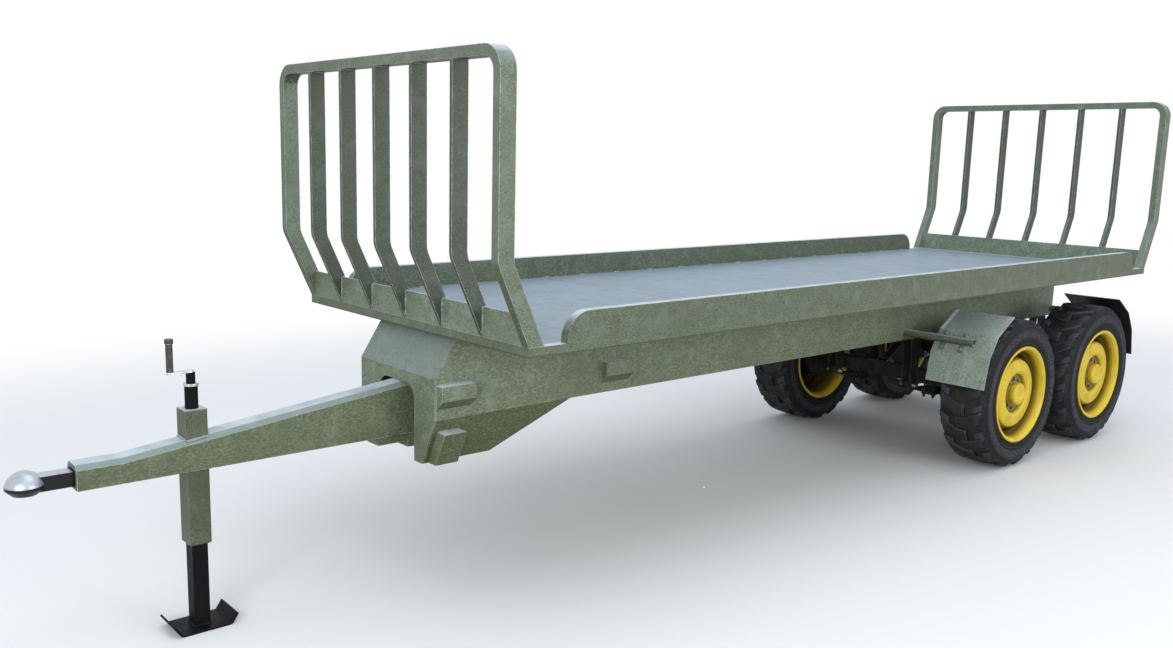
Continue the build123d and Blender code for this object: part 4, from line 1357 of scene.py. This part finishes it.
@dataclass
class Deck(SubAssembly):
    """Deck with its boards, end racks and their welds."""

    shop: Paintshop
    post: float = 0.060
    depth: float = 0.105
    lean: float = 0.212
    bend_rise: float = 0.465
    bar: float = 0.025
    bar_pitch: float = 2.44 / 6
    bar_count: int = 5
    rail: float = 0.060
    kick: float = 0.175
    stitch: float = 0.060
    stitch_pitch: float = 0.405
    stitch_start: float = 0.14
    stitch_bead: float = 0.006
    post_bead: float = 0.009

    def foot_welds(self, edge: float, out: int, half: float, top: float) -> Iterable[Weld]:
        """Welds round the foot of each post of a rack.

        Args:
            edge: place of the deck's end.
            out: which way along X the rack leans.
            half: half of the deck's width.
            top: height of the deck's rails.

        Yields:
            One weld beside each post and one behind it.
        """
        rising = Vector((out * self.lean, 0, self.bend_rise)).normalized()
        behind = edge - out * self.depth
        for side in Side:
            inner, outer = side.value * (half - self.post), side.value * half
            front, corner = Vector((edge, inner, top)), Vector((behind, inner, top))
            yield Weld(front, corner, -side.value * Y, Z, self.post_bead)
            yield Weld(corner, Vector((behind, outer, top)), -out * X, rising, self.post_bead)

    def bar_welds(self, edge: float, out: int, deck: float, top: float) -> Iterable[Weld]:
        """Welds at both ends of a rack's bars.

        Args:
            edge: place of the deck's end.
            out: which way along X the rack leans.
            deck: height of the deck's rails.
            top: height of the rack.

        Yields:
            Two welds under the top rail and two on the kick plate for each bar.
        """
        near, far = edge + out * (self.lean - self.depth), edge + out * self.lean
        under = top - self.rail
        for i in range(self.bar_count):
            middle = (i - (self.bar_count - 1) / 2) * self.bar_pitch
            for way in (-1, 1):
                y = middle + way * self.bar / 2
                yield Weld(Vector((near, y, under)), Vector((far, y, under)), way * Y, -Z)
                low, high = Vector((edge, y, deck + 0.02)), Vector((edge, y, deck + self.kick - 0.004))
                yield Weld(low, high, way * Y, out * X)

    def board_welds(self) -> Iterable[Weld]:
        """Stitch welds along the foot of each side board.

        Yields:
            One short weld after another, on the inside.
        """
        for side in Side:
            low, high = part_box(f"side_board_{side.word}")
            inner = low.y if side is Side.LEFT else high.y
            count = int((high.x - low.x) / self.stitch_pitch)
            for i in range(count):
                start = Vector((low.x + self.stitch_start + i * self.stitch_pitch, inner, low.z))
                yield Weld(start, start + self.stitch * X, -side.value * Y, Z, self.stitch_bead)

    def build(self) -> None:
        """Dresses the deck, boards and racks, and welds them."""
        self.dress("deck_floor", self.shop.floor)
        self.dress("deck_side_rails", self.shop.rails)
        self.dress("deck_end_rails", self.shop.rails)
        self.dress("deck_cross_members", self.shop.sage)
        for side in Side:
            self.dress(f"side_board_{side.word}", self.shop.boards)
        low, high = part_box("deck_side_rails")
        for rack, edge, out in (("headboard", high.x, 1), ("tailboard", low.x, -1)):
            self.dress(f"{rack}_hoop", self.shop.hoops)
            self.dress(f"{rack}_kick_plate", self.shop.kick)
            self.dress(f"{rack}_bars", self.shop.bars)
            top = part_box(f"{rack}_hoop")[1].z
            beads = [*self.foot_welds(edge, out, high.y, high.z), *self.bar_welds(edge, out, high.z, top)]
            self.weld(f"{rack}_welds", beads, self.shop.hoops)
        self.weld("side_board_welds", self.board_welds(), self.shop.sage)


@dataclass
class Chassis(SubAssembly):
    """Box chassis, side brackets, drawbar and coupling, with their welds."""

    shop: Paintshop
    bracket_places: tuple[float, float] = (2.777, 1.452)
    bracket_half: float = 0.125
    skirt_slope: Vector = field(default_factory=lambda: Vector((0, 0.139, 0.298)).normalized())
    pivot_x: float = 2.789
    pivot_half: float = 0.0815
    pivot_y: float = 0.3953
    sleeve_half: float = 0.062
    drawbar_flat: float = 0.240
    drawbar_slope: float = 0.1167
    drawbar_tip: float = 0.135
    drawbar_chamfer_drop: float = 0.008
    shank_half: float = 0.046
    shank_top: float = 1.028
    shank_depth: float = 0.078
    shank_bead: float = 0.008
    bead: float = 0.009

    def bracket_welds(self) -> Iterable[Weld]:
        """Welds along the top and both ends of the side brackets.

        Yields:
            Three welds for each bracket.
        """
        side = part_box("chassis_side_left")[1].y
        low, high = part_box("chassis_side_brackets")
        for middle in self.bracket_places:
            ends = (middle - self.bracket_half, middle + self.bracket_half)
            yield Weld(Vector((ends[0], side, high.z)), Vector((ends[1], side, high.z)), Z, Y)
            for way, x in zip((-1, 1), ends):
                yield Weld(Vector((x, side, low.z)), Vector((x, side, high.z)), way * X, Y)

    def pivot_welds(self) -> Iterable[Weld]:
        """Welds over the two pivot blocks.

        Yields:
            One weld on each side.
        """
        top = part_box("drawbar_pivot_blocks")[1].z
        for side in Side:
            slope = Vector((0, side.value * self.skirt_slope.y, self.skirt_slope.z))
            start = Vector((self.pivot_x - self.pivot_half, side.value * self.pivot_y, top))
            yield Weld(start, start + 2 * self.pivot_half * X, slope, side.value * Y, self.bead)

    def sleeve_welds(self) -> Iterable[Weld]:
        """Welds where the jack's sleeve passes through the drawbar, above and below.

        Yields:
            Four welds on the drawbar's top and four under it.
        """
        low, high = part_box("drawbar")
        half, sleeve = self.sleeve_half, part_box("jack_sleeve")
        middle = (sleeve[0].x + sleeve[1].x) / 2
        rise = low.z + self.drawbar_tip + (high.x - self.drawbar_flat - middle) * self.drawbar_slope
        fall = half * self.drawbar_slope
        slope = Vector((1, 0, -self.drawbar_slope)).normalized()
        for way in (-1, 1):
            x, y = middle + way * half, way * half
            back, front = middle - half, middle + half
            over, side = rise - way * fall, rise - self.drawbar_chamfer_drop
            rows = (
                ((x, -half, over), (x, half, over), way * slope, Z),
                ((back, y, side + fall), (front, y, side - fall), way * Y, Z),
                ((x, -half, low.z), (x, half, low.z), way * X, -Z),
                ((back, y, low.z), (front, y, low.z), way * Y, -Z),
            )
            for start, end, first, second in rows:
                yield Weld(Vector(start), Vector(end), first, second, self.bead)

    def shank_welds(self) -> Iterable[Weld]:
        """Welds round the coupling's shank on the drawbar's end.

        Yields:
            Four welds.
        """
        face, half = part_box("drawbar")[1].x, self.shank_half
        top, foot = self.shank_top, self.shank_top - self.shank_depth
        for way, z in ((1, top), (-1, foot)):
            yield Weld(Vector((face, -half, z)), Vector((face, half, z)), way * Z, X, self.shank_bead)
        for way in (-1, 1):
            start, end = Vector((face, way * half, foot)), Vector((face, way * half, top))
            yield Weld(start, end, way * Y, X, self.shank_bead)

    def build(self) -> None:
        """Dresses the chassis and the drawbar, and welds them."""
        names = (
            "chassis_nose", "chassis_side_left", "chassis_side_right", "chassis_bottom_plate",
            "chassis_cross_plates",
        )
        for node in names:
            self.dress(node, self.shop.frame)
        self.dress("chassis_side_brackets", self.shop.brackets)
        self.dress("drawbar_pivot_blocks", self.shop.brackets)
        self.dress("drawbar", self.shop.drawbar)
        self.dress("drawbar_shoe", self.shop.drawbar)
        self.dress("drawbar_pivot_pin", self.shop.bright)
        self.dress("tow_coupling", self.shop.coupling)
        self.weld("chassis_welds", [*self.bracket_welds(), *self.pivot_welds()], self.shop.frame)
        self.weld("drawbar_welds", self.sleeve_welds(), self.shop.drawbar)
        self.weld("coupling_welds", self.shank_welds(), self.shop.black)


@dataclass
class Jack(SubAssembly):
    """Screw jack under the drawbar, with grip, collar and the weld of its foot."""

    shop: Paintshop
    leg_half: float = 0.045
    foot_plate: float = 0.012
    collar: float = 0.014
    collar_radius: float = 0.041
    head_radius: float = 0.036
    spindle: float = 0.060
    grip_radius: float = 0.0192
    grip_cap: float = 0.0235
    grip_cap_height: float = 0.026
    crank_plate: float = 0.012
    crank_reach: float = 0.112
    rib_pitch: float = 0.012
    rib_half: float = 0.003
    rib_depth: float = 0.0011
    grip_bore: float = 0.004
    collar_bore: float = 0.0255
    bead: float = 0.009

    def upright(self, profile: Sequence[Point2], name: str, place: Vector, finish: Finish) -> None:
        """Seats a turned piece that stands on end.

        Args:
            profile: radius and height of each point, closed on itself.
            name: the piece's name.
            place: where its own origin stands.
            finish: its finish.
        """
        lying, standing = Stock(), Stock()
        lying.lathe(profile, 40, True)
        standing.add(lying, Matrix.Rotation(math.pi / 2, 4, "X"))
        self.seat(standing.piece(name, place, 50), finish, "trailer")

    def grip(self, place: Vector, height: float) -> None:
        """Builds the ribbed rubber sleeve of the crank's grip.

        Args:
            place: the grip's foot.
            height: its length.
        """
        ribs = int((height - self.grip_cap_height) / self.rib_pitch)
        outline = [(self.grip_bore, 0.0005, 0.0), (self.grip_radius, 0.0005, 0.002)]
        for k in range(1, ribs):
            z = k * self.rib_pitch
            outline.append((self.grip_radius, z - self.rib_half, 0.001))
            outline.append((self.grip_radius - self.rib_depth, z, 0.001))
            outline.append((self.grip_radius, z + self.rib_half, 0.001))
        cap = height - self.grip_cap_height
        outline += [(self.grip_radius, cap, 0.002), (self.grip_cap, cap + 0.002, 0.003)]
        outline += [(self.grip_cap, height + 0.001, 0.005), (self.grip_bore, height + 0.001, 0.0)]
        self.upright(rounded(outline, 3, True), "jack_grip_sleeve", place, self.shop.grip)

    def build(self) -> None:
        """Dresses the jack and adds its grip, collar and weld."""
        self.dress("jack_sleeve", self.shop.sleeve)
        self.dress("jack_head", self.shop.black)
        self.dress("jack_crank", self.shop.bright)
        self.dress("jack_leg", self.shop.black)
        self.dress("jack_foot", self.shop.black)
        low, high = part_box("jack_head")
        axis = (low + high) / 2
        axis.z = high.z
        ring = [
            (self.head_radius, 0.0, 0.0), (self.collar_radius, 0.0, 0.003),
            (self.collar_radius, self.collar + 0.001, 0.003), (self.collar_bore, self.collar + 0.001, 0.0),
        ]
        seat = axis - Vector((0, 0, self.spindle + self.collar))
        self.upright(rounded(ring, 4, True), "jack_collar_ring", seat, self.shop.bright)
        foot = axis + Vector((self.crank_reach, 0, self.crank_plate))
        self.grip(foot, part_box("jack_crank")[1].z - foot.z)
        beads = []
        for way in (-1, 1):
            half, z = self.leg_half, self.foot_plate
            x, y = axis.x + way * half, way * half
            back, front = axis.x - half, axis.x + half
            beads.append(Weld(Vector((x, -half, z)), Vector((x, half, z)), way * X, Z, self.bead))
            beads.append(Weld(Vector((back, y, z)), Vector((front, y, z)), way * Y, Z, self.bead))
        self.weld("jack_foot_welds", beads, self.shop.black, "jack_leg")


@dataclass
class Bogie(SubAssembly):
    """Axles, leaf springs, hangers and rockers, with their clamps and nuts."""

    shop: Paintshop
    spring_y: float = 0.400
    spring_half: float = 0.420
    spring_width: float = 0.075
    leaf: float = 0.012
    leaf_count: int = 5
    leaf_top: float = 0.590
    sag: float = 0.045
    eye_z: float = 0.649
    rocker_rise: float = 0.174
    beam: float = 0.120
    bolt: float = 0.018
    clip_place: float = 0.220
    clip_leaves: int = 3
    hanger_face: float = 0.0478
    mid_hanger_face: float = 0.0621
    rocker_face: float = 0.0518
    hanger_half: float = 0.080
    hanger_bead: float = 0.008
    spring_seat: float = 0.010
    clamp_half: Point2 = (0.092, 0.066)
    clamp_plate: float = 0.018
    bolt_spread: float = 0.047
    bolt_tail: float = 0.034
    bolt_nut: float = 0.028
    strap: float = 0.004
    strap_bolt: float = 0.018
    pin_nut: float = 0.036
    rocker_nut: float = 0.050

    def axle_places(self) -> list[Vector]:
        """Middles of both axle beams, the front one first."""
        boxes = (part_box(f"axle_{row.value}") for row in AxleRow)
        return [(low + high) / 2 for low, high in boxes]

    def shackle(self) -> Stock:
        """Two U-bolts, clamp plate and nuts of one spring, about the axle's middle.

        Returns:
            The mesh, with Y = 0 at the spring's middle.
        """
        stock = Stock()
        radius = self.bolt / 2
        reach, crest = self.beam / 2 + radius, self.beam / 2 + radius
        under = -self.beam / 2 - self.spring_seat - self.leaf * self.leaf_count
        plate = self.clamp_plate
        tail = under - plate - self.bolt_tail
        bends = [(-reach, tail, 0), (-reach, crest, 0.024), (reach, crest, 0.024), (reach, tail, 0)]
        arch = rounded(bends, 6, False)
        for y in (-self.bolt_spread, self.bolt_spread):
            stock.tube([Vector((x, y, z)) for x, z in arch], radius)
            for x in (-reach, reach):
                nut = fastener(self.bolt_nut, False)
                stock.add(nut, facing(Vector((x, y, under - plate)), -Z))
        half_x, half_y = self.clamp_half
        edge = rounded([(a * half_x, b * half_y, 0.012) for a, b in SQUARE], 4, True)
        levels = ((0.97, under), (1.0, under - 0.002), (1.0, under - plate + 0.002), (0.97, under - plate))
        stock.bar([[Vector((share * x, share * y, z)) for x, y in edge] for share, z in levels])
        return stock

    def clip(self) -> Stock:
        """Bent strap that holds the upper leaves together, about its own middle.

        Returns:
            The mesh, with its bolt on the +Y side.
        """
        half_y = self.spring_width / 2 + self.strap
        half_z = self.leaf * self.clip_leaves / 2 + self.strap
        edge = rounded([(a * half_y, b * half_z, 0.006) for a, b in SQUARE], 4, True)
        levels = ((0.96, -0.015), (1.0, -0.013), (1.0, 0.013), (0.96, 0.015))
        stock = Stock()
        stock.bar([[Vector((x, share * y, share * z)) for y, z in edge] for share, x in levels])
        stock.add(fastener(self.strap_bolt, False), facing(Vector((0, half_y, 0)), Y))
        return stock

    def clamps(self) -> None:
        """Builds U-bolts and spring clips on all four springs."""
        stock, shackle, clip = Stock(), self.shackle(), self.clip()
        bend = (self.spring_half ** 2 + self.sag ** 2) / (2 * self.sag)
        lift = self.leaf_top - self.leaf * self.clip_leaves / 2 + self.clip_place ** 2 / (2 * bend)
        for axle in self.axle_places():
            for side in Side:
                middle = Vector((axle.x, side.value * self.spring_y, axle.z))
                stock.add(shackle, Matrix.Translation(middle))
                for way in (-1, 1):
                    place = Vector((axle.x + way * self.clip_place, middle.y, lift))
                    tilt = Matrix.Rotation(-way * math.atan2(self.clip_place, bend), 4, "Y")
                    turned = Matrix.Diagonal((1, side.value, 1, 1))
                    stock.add(clip, Matrix.Translation(place) @ tilt @ turned)
        self.seat(stock.piece("spring_clamps"), self.shop.gear, "trailer")

    def pin_nuts(self) -> None:
        """Builds the nuts on both ends of every hanger and rocker pin."""
        front, rear = self.axle_places()
        middle, reach = (front.x + rear.x) / 2, (front.x - rear.x) / 2 - self.spring_half
        rows = [
            (front.x + self.spring_half, self.eye_z, self.hanger_face, self.pin_nut),
            (rear.x - self.spring_half, self.eye_z, self.hanger_face, self.pin_nut),
            (middle - reach, self.eye_z, self.rocker_face, self.pin_nut),
            (middle + reach, self.eye_z, self.rocker_face, self.pin_nut),
            (middle, self.eye_z + self.rocker_rise, self.mid_hanger_face, self.rocker_nut),
        ]
        stock = Stock()
        for x, z, face, across in rows:
            for side in Side:
                for way in (-1, 1):
                    place = Vector((x, side.value * self.spring_y + way * face, z))
                    stock.add(fastener(across, True), facing(place, way * Y, 0.3 * x))
        self.seat(stock.piece("spring_pin_nuts"), self.shop.nuts, "trailer")

    def hanger_welds(self) -> Iterable[Weld]:
        """Welds along the inner edge of each hanger's top plate.

        Yields:
            One weld for each hanger.
        """
        front, rear = self.axle_places()
        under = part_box("spring_hangers")[1].z
        places = (
            (front.x + self.spring_half, self.hanger_face),
            ((front.x + rear.x) / 2, self.mid_hanger_face),
            (rear.x - self.spring_half, self.hanger_face),
        )
        for x, face in places:
            for side in Side:
                start = Vector((x - self.hanger_half, side.value * (self.spring_y - face), under))
                yield Weld(start, start + 2 * self.hanger_half * X, -side.value * Y, -Z, self.hanger_bead)

    def build(self) -> None:
        """Dresses the running gear and adds its clamps, nuts and welds."""
        for node in ("axle_front", "axle_rear", "leaf_springs", "spring_hangers", "spring_rockers"):
            self.dress(node, self.shop.gear)
        self.clamps()
        self.pin_nuts()
        self.weld("spring_hanger_welds", self.hanger_welds(), self.shop.gear)


@dataclass
class Mudguards(SubAssembly):
    """Folded mudguards on their tube stays, with strap bolts and welds."""

    shop: Paintshop
    width: float = 0.538
    fold_middle: Point2 = (0.573, 0.474)
    fold_normal: Point2 = (0.833, 0.554)
    strap_plate: float = 0.012
    strap_places: tuple[float, float] = (0.800, 0.980)
    bolt_reach: float = 0.066
    bolt_across: float = 0.022
    stay_radius: float = 0.0325
    stay_rise: float = 0.042

    def on_fold(self, row: AxleRow, along: float, out: float) -> tuple[Vector, Vector]:
        """Point on a guard's middle fold.

        Args:
            row: the guard's axle.
            along: distance down the fold from its middle.
            out: height above the fold.

        Returns:
            The point at Y = 0 and the fold's outward direction.
        """
        low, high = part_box(f"axle_{row.value}")
        away = 1 if row is AxleRow.FRONT else -1
        (nx, nz), (mx, mz) = self.fold_normal, self.fold_middle
        x, z = mx + nz * along + nx * out, mz - nx * along + nz * out
        return (low + high) / 2 + Vector((away * x, 0, z)), Vector((away * nx, 0, nz))

    def fasten(self) -> None:
        """Builds the bolts of the straps and the welds at the stays' roots."""
        bolts, roots = Stock(), Stock()
        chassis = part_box("chassis_side_left")[1].y
        for row in AxleRow:
            tube = self.on_fold(row, 0, self.stay_rise)[0]
            for side in Side:
                Weld.around(roots, tube + side.value * chassis * Y, self.stay_radius, side.value)
                for strap in self.strap_places:
                    for along in (-self.bolt_reach, self.bolt_reach):
                        place, out = self.on_fold(row, along, self.strap_plate)
                        head = fastener(self.bolt_across, False)
                        bolts.add(head, facing(place + side.value * strap * Y, out, strap))
        self.seat(bolts.piece("mudguard_bolts"), self.shop.frame, "trailer")
        self.seat(roots.piece("mudguard_stay_welds"), self.shop.frame, "trailer")

    def build(self) -> None:
        """Dresses the guards and stays, and fastens them."""
        for row in AxleRow:
            low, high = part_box(f"axle_{row.value}")
            middle = (low + high) / 2
            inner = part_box(f"mudguards_{row.value}")[1].y - self.width
            finish = GuardPaint((middle.x, middle.z), inner, f"guard_paint_{row.value}")
            self.dress(f"mudguards_{row.value}", finish)
        self.dress("mudguard_stays", self.shop.sage)
        self.fasten()


@dataclass
class Studio:
    """Pale floor, soft light and the camera at the photograph's view."""

    eye: Vector = field(default_factory=lambda: Vector((6.3156, 5.5958, 2.6990)))
    yaw: float = -2.257952
    pitch: float = -0.169621
    roll: float = 0.0190814
    focal: float = 1058.232
    middle: Point2 = (544.165, 331.057)
    frame_size: Point2 = (1173.0, 648.0)
    sensor: float = 36.0
    floor_reach: float = 60.0
    fade: Point2 = (4.6, 10.0)
    fade_weights: Point3 = (0.65, 1, 0)
    floor_colour: Colour = (0.90, 0.885, 0.865)
    floor_bounce: Colour = (0.26, 0.26, 0.16)
    zenith: Colour = (0.84, 0.93, 1.05)
    horizon: Colour = (0.54, 0.57, 0.58)
    sky_strength: float = 0.95

    def camera(self) -> None:
        """Sets the camera."""
        ahead = Vector((
            math.cos(self.pitch) * math.cos(self.yaw),
            math.cos(self.pitch) * math.sin(self.yaw),
            math.sin(self.pitch),
        ))
        right = ahead.cross(Z).normalized()
        up = right.cross(ahead)
        cosine, sine = math.cos(self.roll), math.sin(self.roll)
        across, above = cosine * right + sine * up, cosine * up - sine * right
        data = bpy.data.cameras.new("photo_view")
        width, height = self.frame_size
        data.sensor_width = self.sensor
        data.sensor_fit = "HORIZONTAL"
        data.lens = self.sensor * self.focal / width
        data.shift_x = (width / 2 - self.middle[0]) / width
        data.shift_y = (self.middle[1] - height / 2) / width
        data.clip_end = 200.0
        camera = bpy.data.objects.new("photo_view", data)
        turn = Matrix((across, above, -ahead)).transposed().to_4x4()
        camera.matrix_world = Matrix.Translation(self.eye) @ turn
        bpy.context.scene.collection.objects.link(camera)
        bpy.context.scene.camera = camera

    def floor(self) -> None:
        """Lays a pale floor that fades to white far from the trailer."""
        stock = Stock()
        stock.lathe([(0.01, 0.0), (12.0, 0.0), (self.floor_reach, 0.0)], 96, False)
        flat = Stock()
        flat.add(stock, Matrix.Rotation(math.pi / 2, 4, "X"))
        floor = flat.piece("studio_floor", Vector((0, 0, -0.001)))
        shade = Shade("studio_floor_pale")
        fade = shade.ramp(shade.radius(self.fade_weights), *self.fade)
        glow = shade.add("ShaderNodeEmission")
        seen = shade.add("ShaderNodeLightPath")
        sight = shade.calc("ADD", seen.outputs["Is Camera Ray"], seen.outputs["Is Glossy Ray"])
        sight = shade.calc("MINIMUM", shade.calc("ADD", sight, seen.outputs["Is Transmission Ray"]), 1.0)
        shade.set(Base_Color=shade.mix(sight, self.floor_bounce, self.floor_colour))
        shade.set(Roughness=0.9, Specular_IOR_Level=0.1)
        both = shade.add("ShaderNodeMixShader")
        shade.feed(both.inputs[0], shade.calc("MULTIPLY", fade, sight))
        shade.feed(both.inputs[1], shade.shader.outputs[0])
        shade.feed(both.inputs[2], glow.outputs[0])
        output = shade.tree.nodes["Material Output"]
        shade.feed(output.inputs["Surface"], both.outputs[0])
        floor.data.materials.append(shade.material)
        floor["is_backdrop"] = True

    def world(self) -> None:
        """Lights everything with an even sky that looks white to the camera."""
        world = bpy.data.worlds.new("studio_sky")
        world.use_nodes = True
        bpy.context.scene.world = world
        tree = world.node_tree
        light, white = tree.nodes["Background"], tree.nodes.new("ShaderNodeBackground")
        parts, mix = tree.nodes.new("ShaderNodeSeparateXYZ"), tree.nodes.new("ShaderNodeMix")
        mix.data_type = "RGBA"
        tree.links.new(tree.nodes.new("ShaderNodeTexCoord").outputs["Generated"], parts.inputs[0])
        tree.links.new(parts.outputs["Z"], mix.inputs[0])
        mix.inputs[6].default_value = (*self.horizon, 1.0)
        mix.inputs[7].default_value = (*self.zenith, 1.0)
        tree.links.new(mix.outputs[2], light.inputs["Color"])
        light.inputs["Strength"].default_value = self.sky_strength
        white.inputs["Color"].default_value = (1, 1, 1, 1)
        path, both = tree.nodes.new("ShaderNodeLightPath"), tree.nodes.new("ShaderNodeMixShader")
        sight = path.outputs["Is Camera Ray"]
        for name in ("Is Glossy Ray", "Is Transmission Ray"):
            add = tree.nodes.new("ShaderNodeMath")
            add.operation, add.use_clamp = "ADD", True
            tree.links.new(sight, add.inputs[0])
            tree.links.new(path.outputs[name], add.inputs[1])
            sight = add.outputs[0]
        tree.links.new(sight, both.inputs[0])
        tree.links.new(light.outputs[0], both.inputs[1])
        tree.links.new(white.outputs[0], both.inputs[2])
        tree.links.new(both.outputs[0], tree.nodes["World Output"].inputs["Surface"])

    def lamp(self, name: str, place: Point3, aim: Point3, size: float, power: float) -> None:
        """Hangs one square soft lamp.

        Args:
            name: the lamp's name.
            place: where it hangs.
            aim: the point it looks at.
            size: its edge.
            power: its power in watts.
        """
        data = bpy.data.lights.new(name, "AREA")
        data.shape, data.size, data.energy = "SQUARE", size, power
        lamp = bpy.data.objects.new(name, data)
        lamp.location = place
        way = Vector(aim) - Vector(place)
        lamp.rotation_euler = way.to_track_quat("-Z", "Y").to_euler()
        bpy.context.scene.collection.objects.link(lamp)

    def build(self) -> None:
        """Sets up floor, light and camera."""
        self.floor()
        self.world()
        self.lamp("soft_top", (0.0, 1.5, 11.0), (0, 0, 1), 9.0, 260)
        self.lamp("soft_front_left", (11.0, 7.0, 3.8), (0, 0, 1.2), 5.0, 560)
        self.lamp("soft_left", (-2.0, 12.0, 3.0), (-1.5, 0, 1.2), 5.0, 440)
        self.camera()
        bpy.context.scene.view_settings.view_transform = "Standard"


def corners(box: Sequence[Iterable[float]]) -> list[list[float]]:
    """Box as plain lists."""
    return [[float(value) for value in corner] for corner in box]


def main() -> None:
    """Builds every sub-assembly in order."""
    logging.basicConfig(level=logging.INFO, format="%(message)s")
    shop = Paintshop()
    assemblies: list[SubAssembly] = [Deck(shop), Chassis(shop), Jack(shop), Bogie(shop), Mudguards(shop)]
    for row in AxleRow:
        for side in Side:
            assemblies.append(Wheel(shop, row, side))
    for assembly in assemblies:
        assembly.build()
    Studio().build()
    {"cad": corners(cad_box), "visual": corners(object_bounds())}


if __name__ == "__main__":
    main()
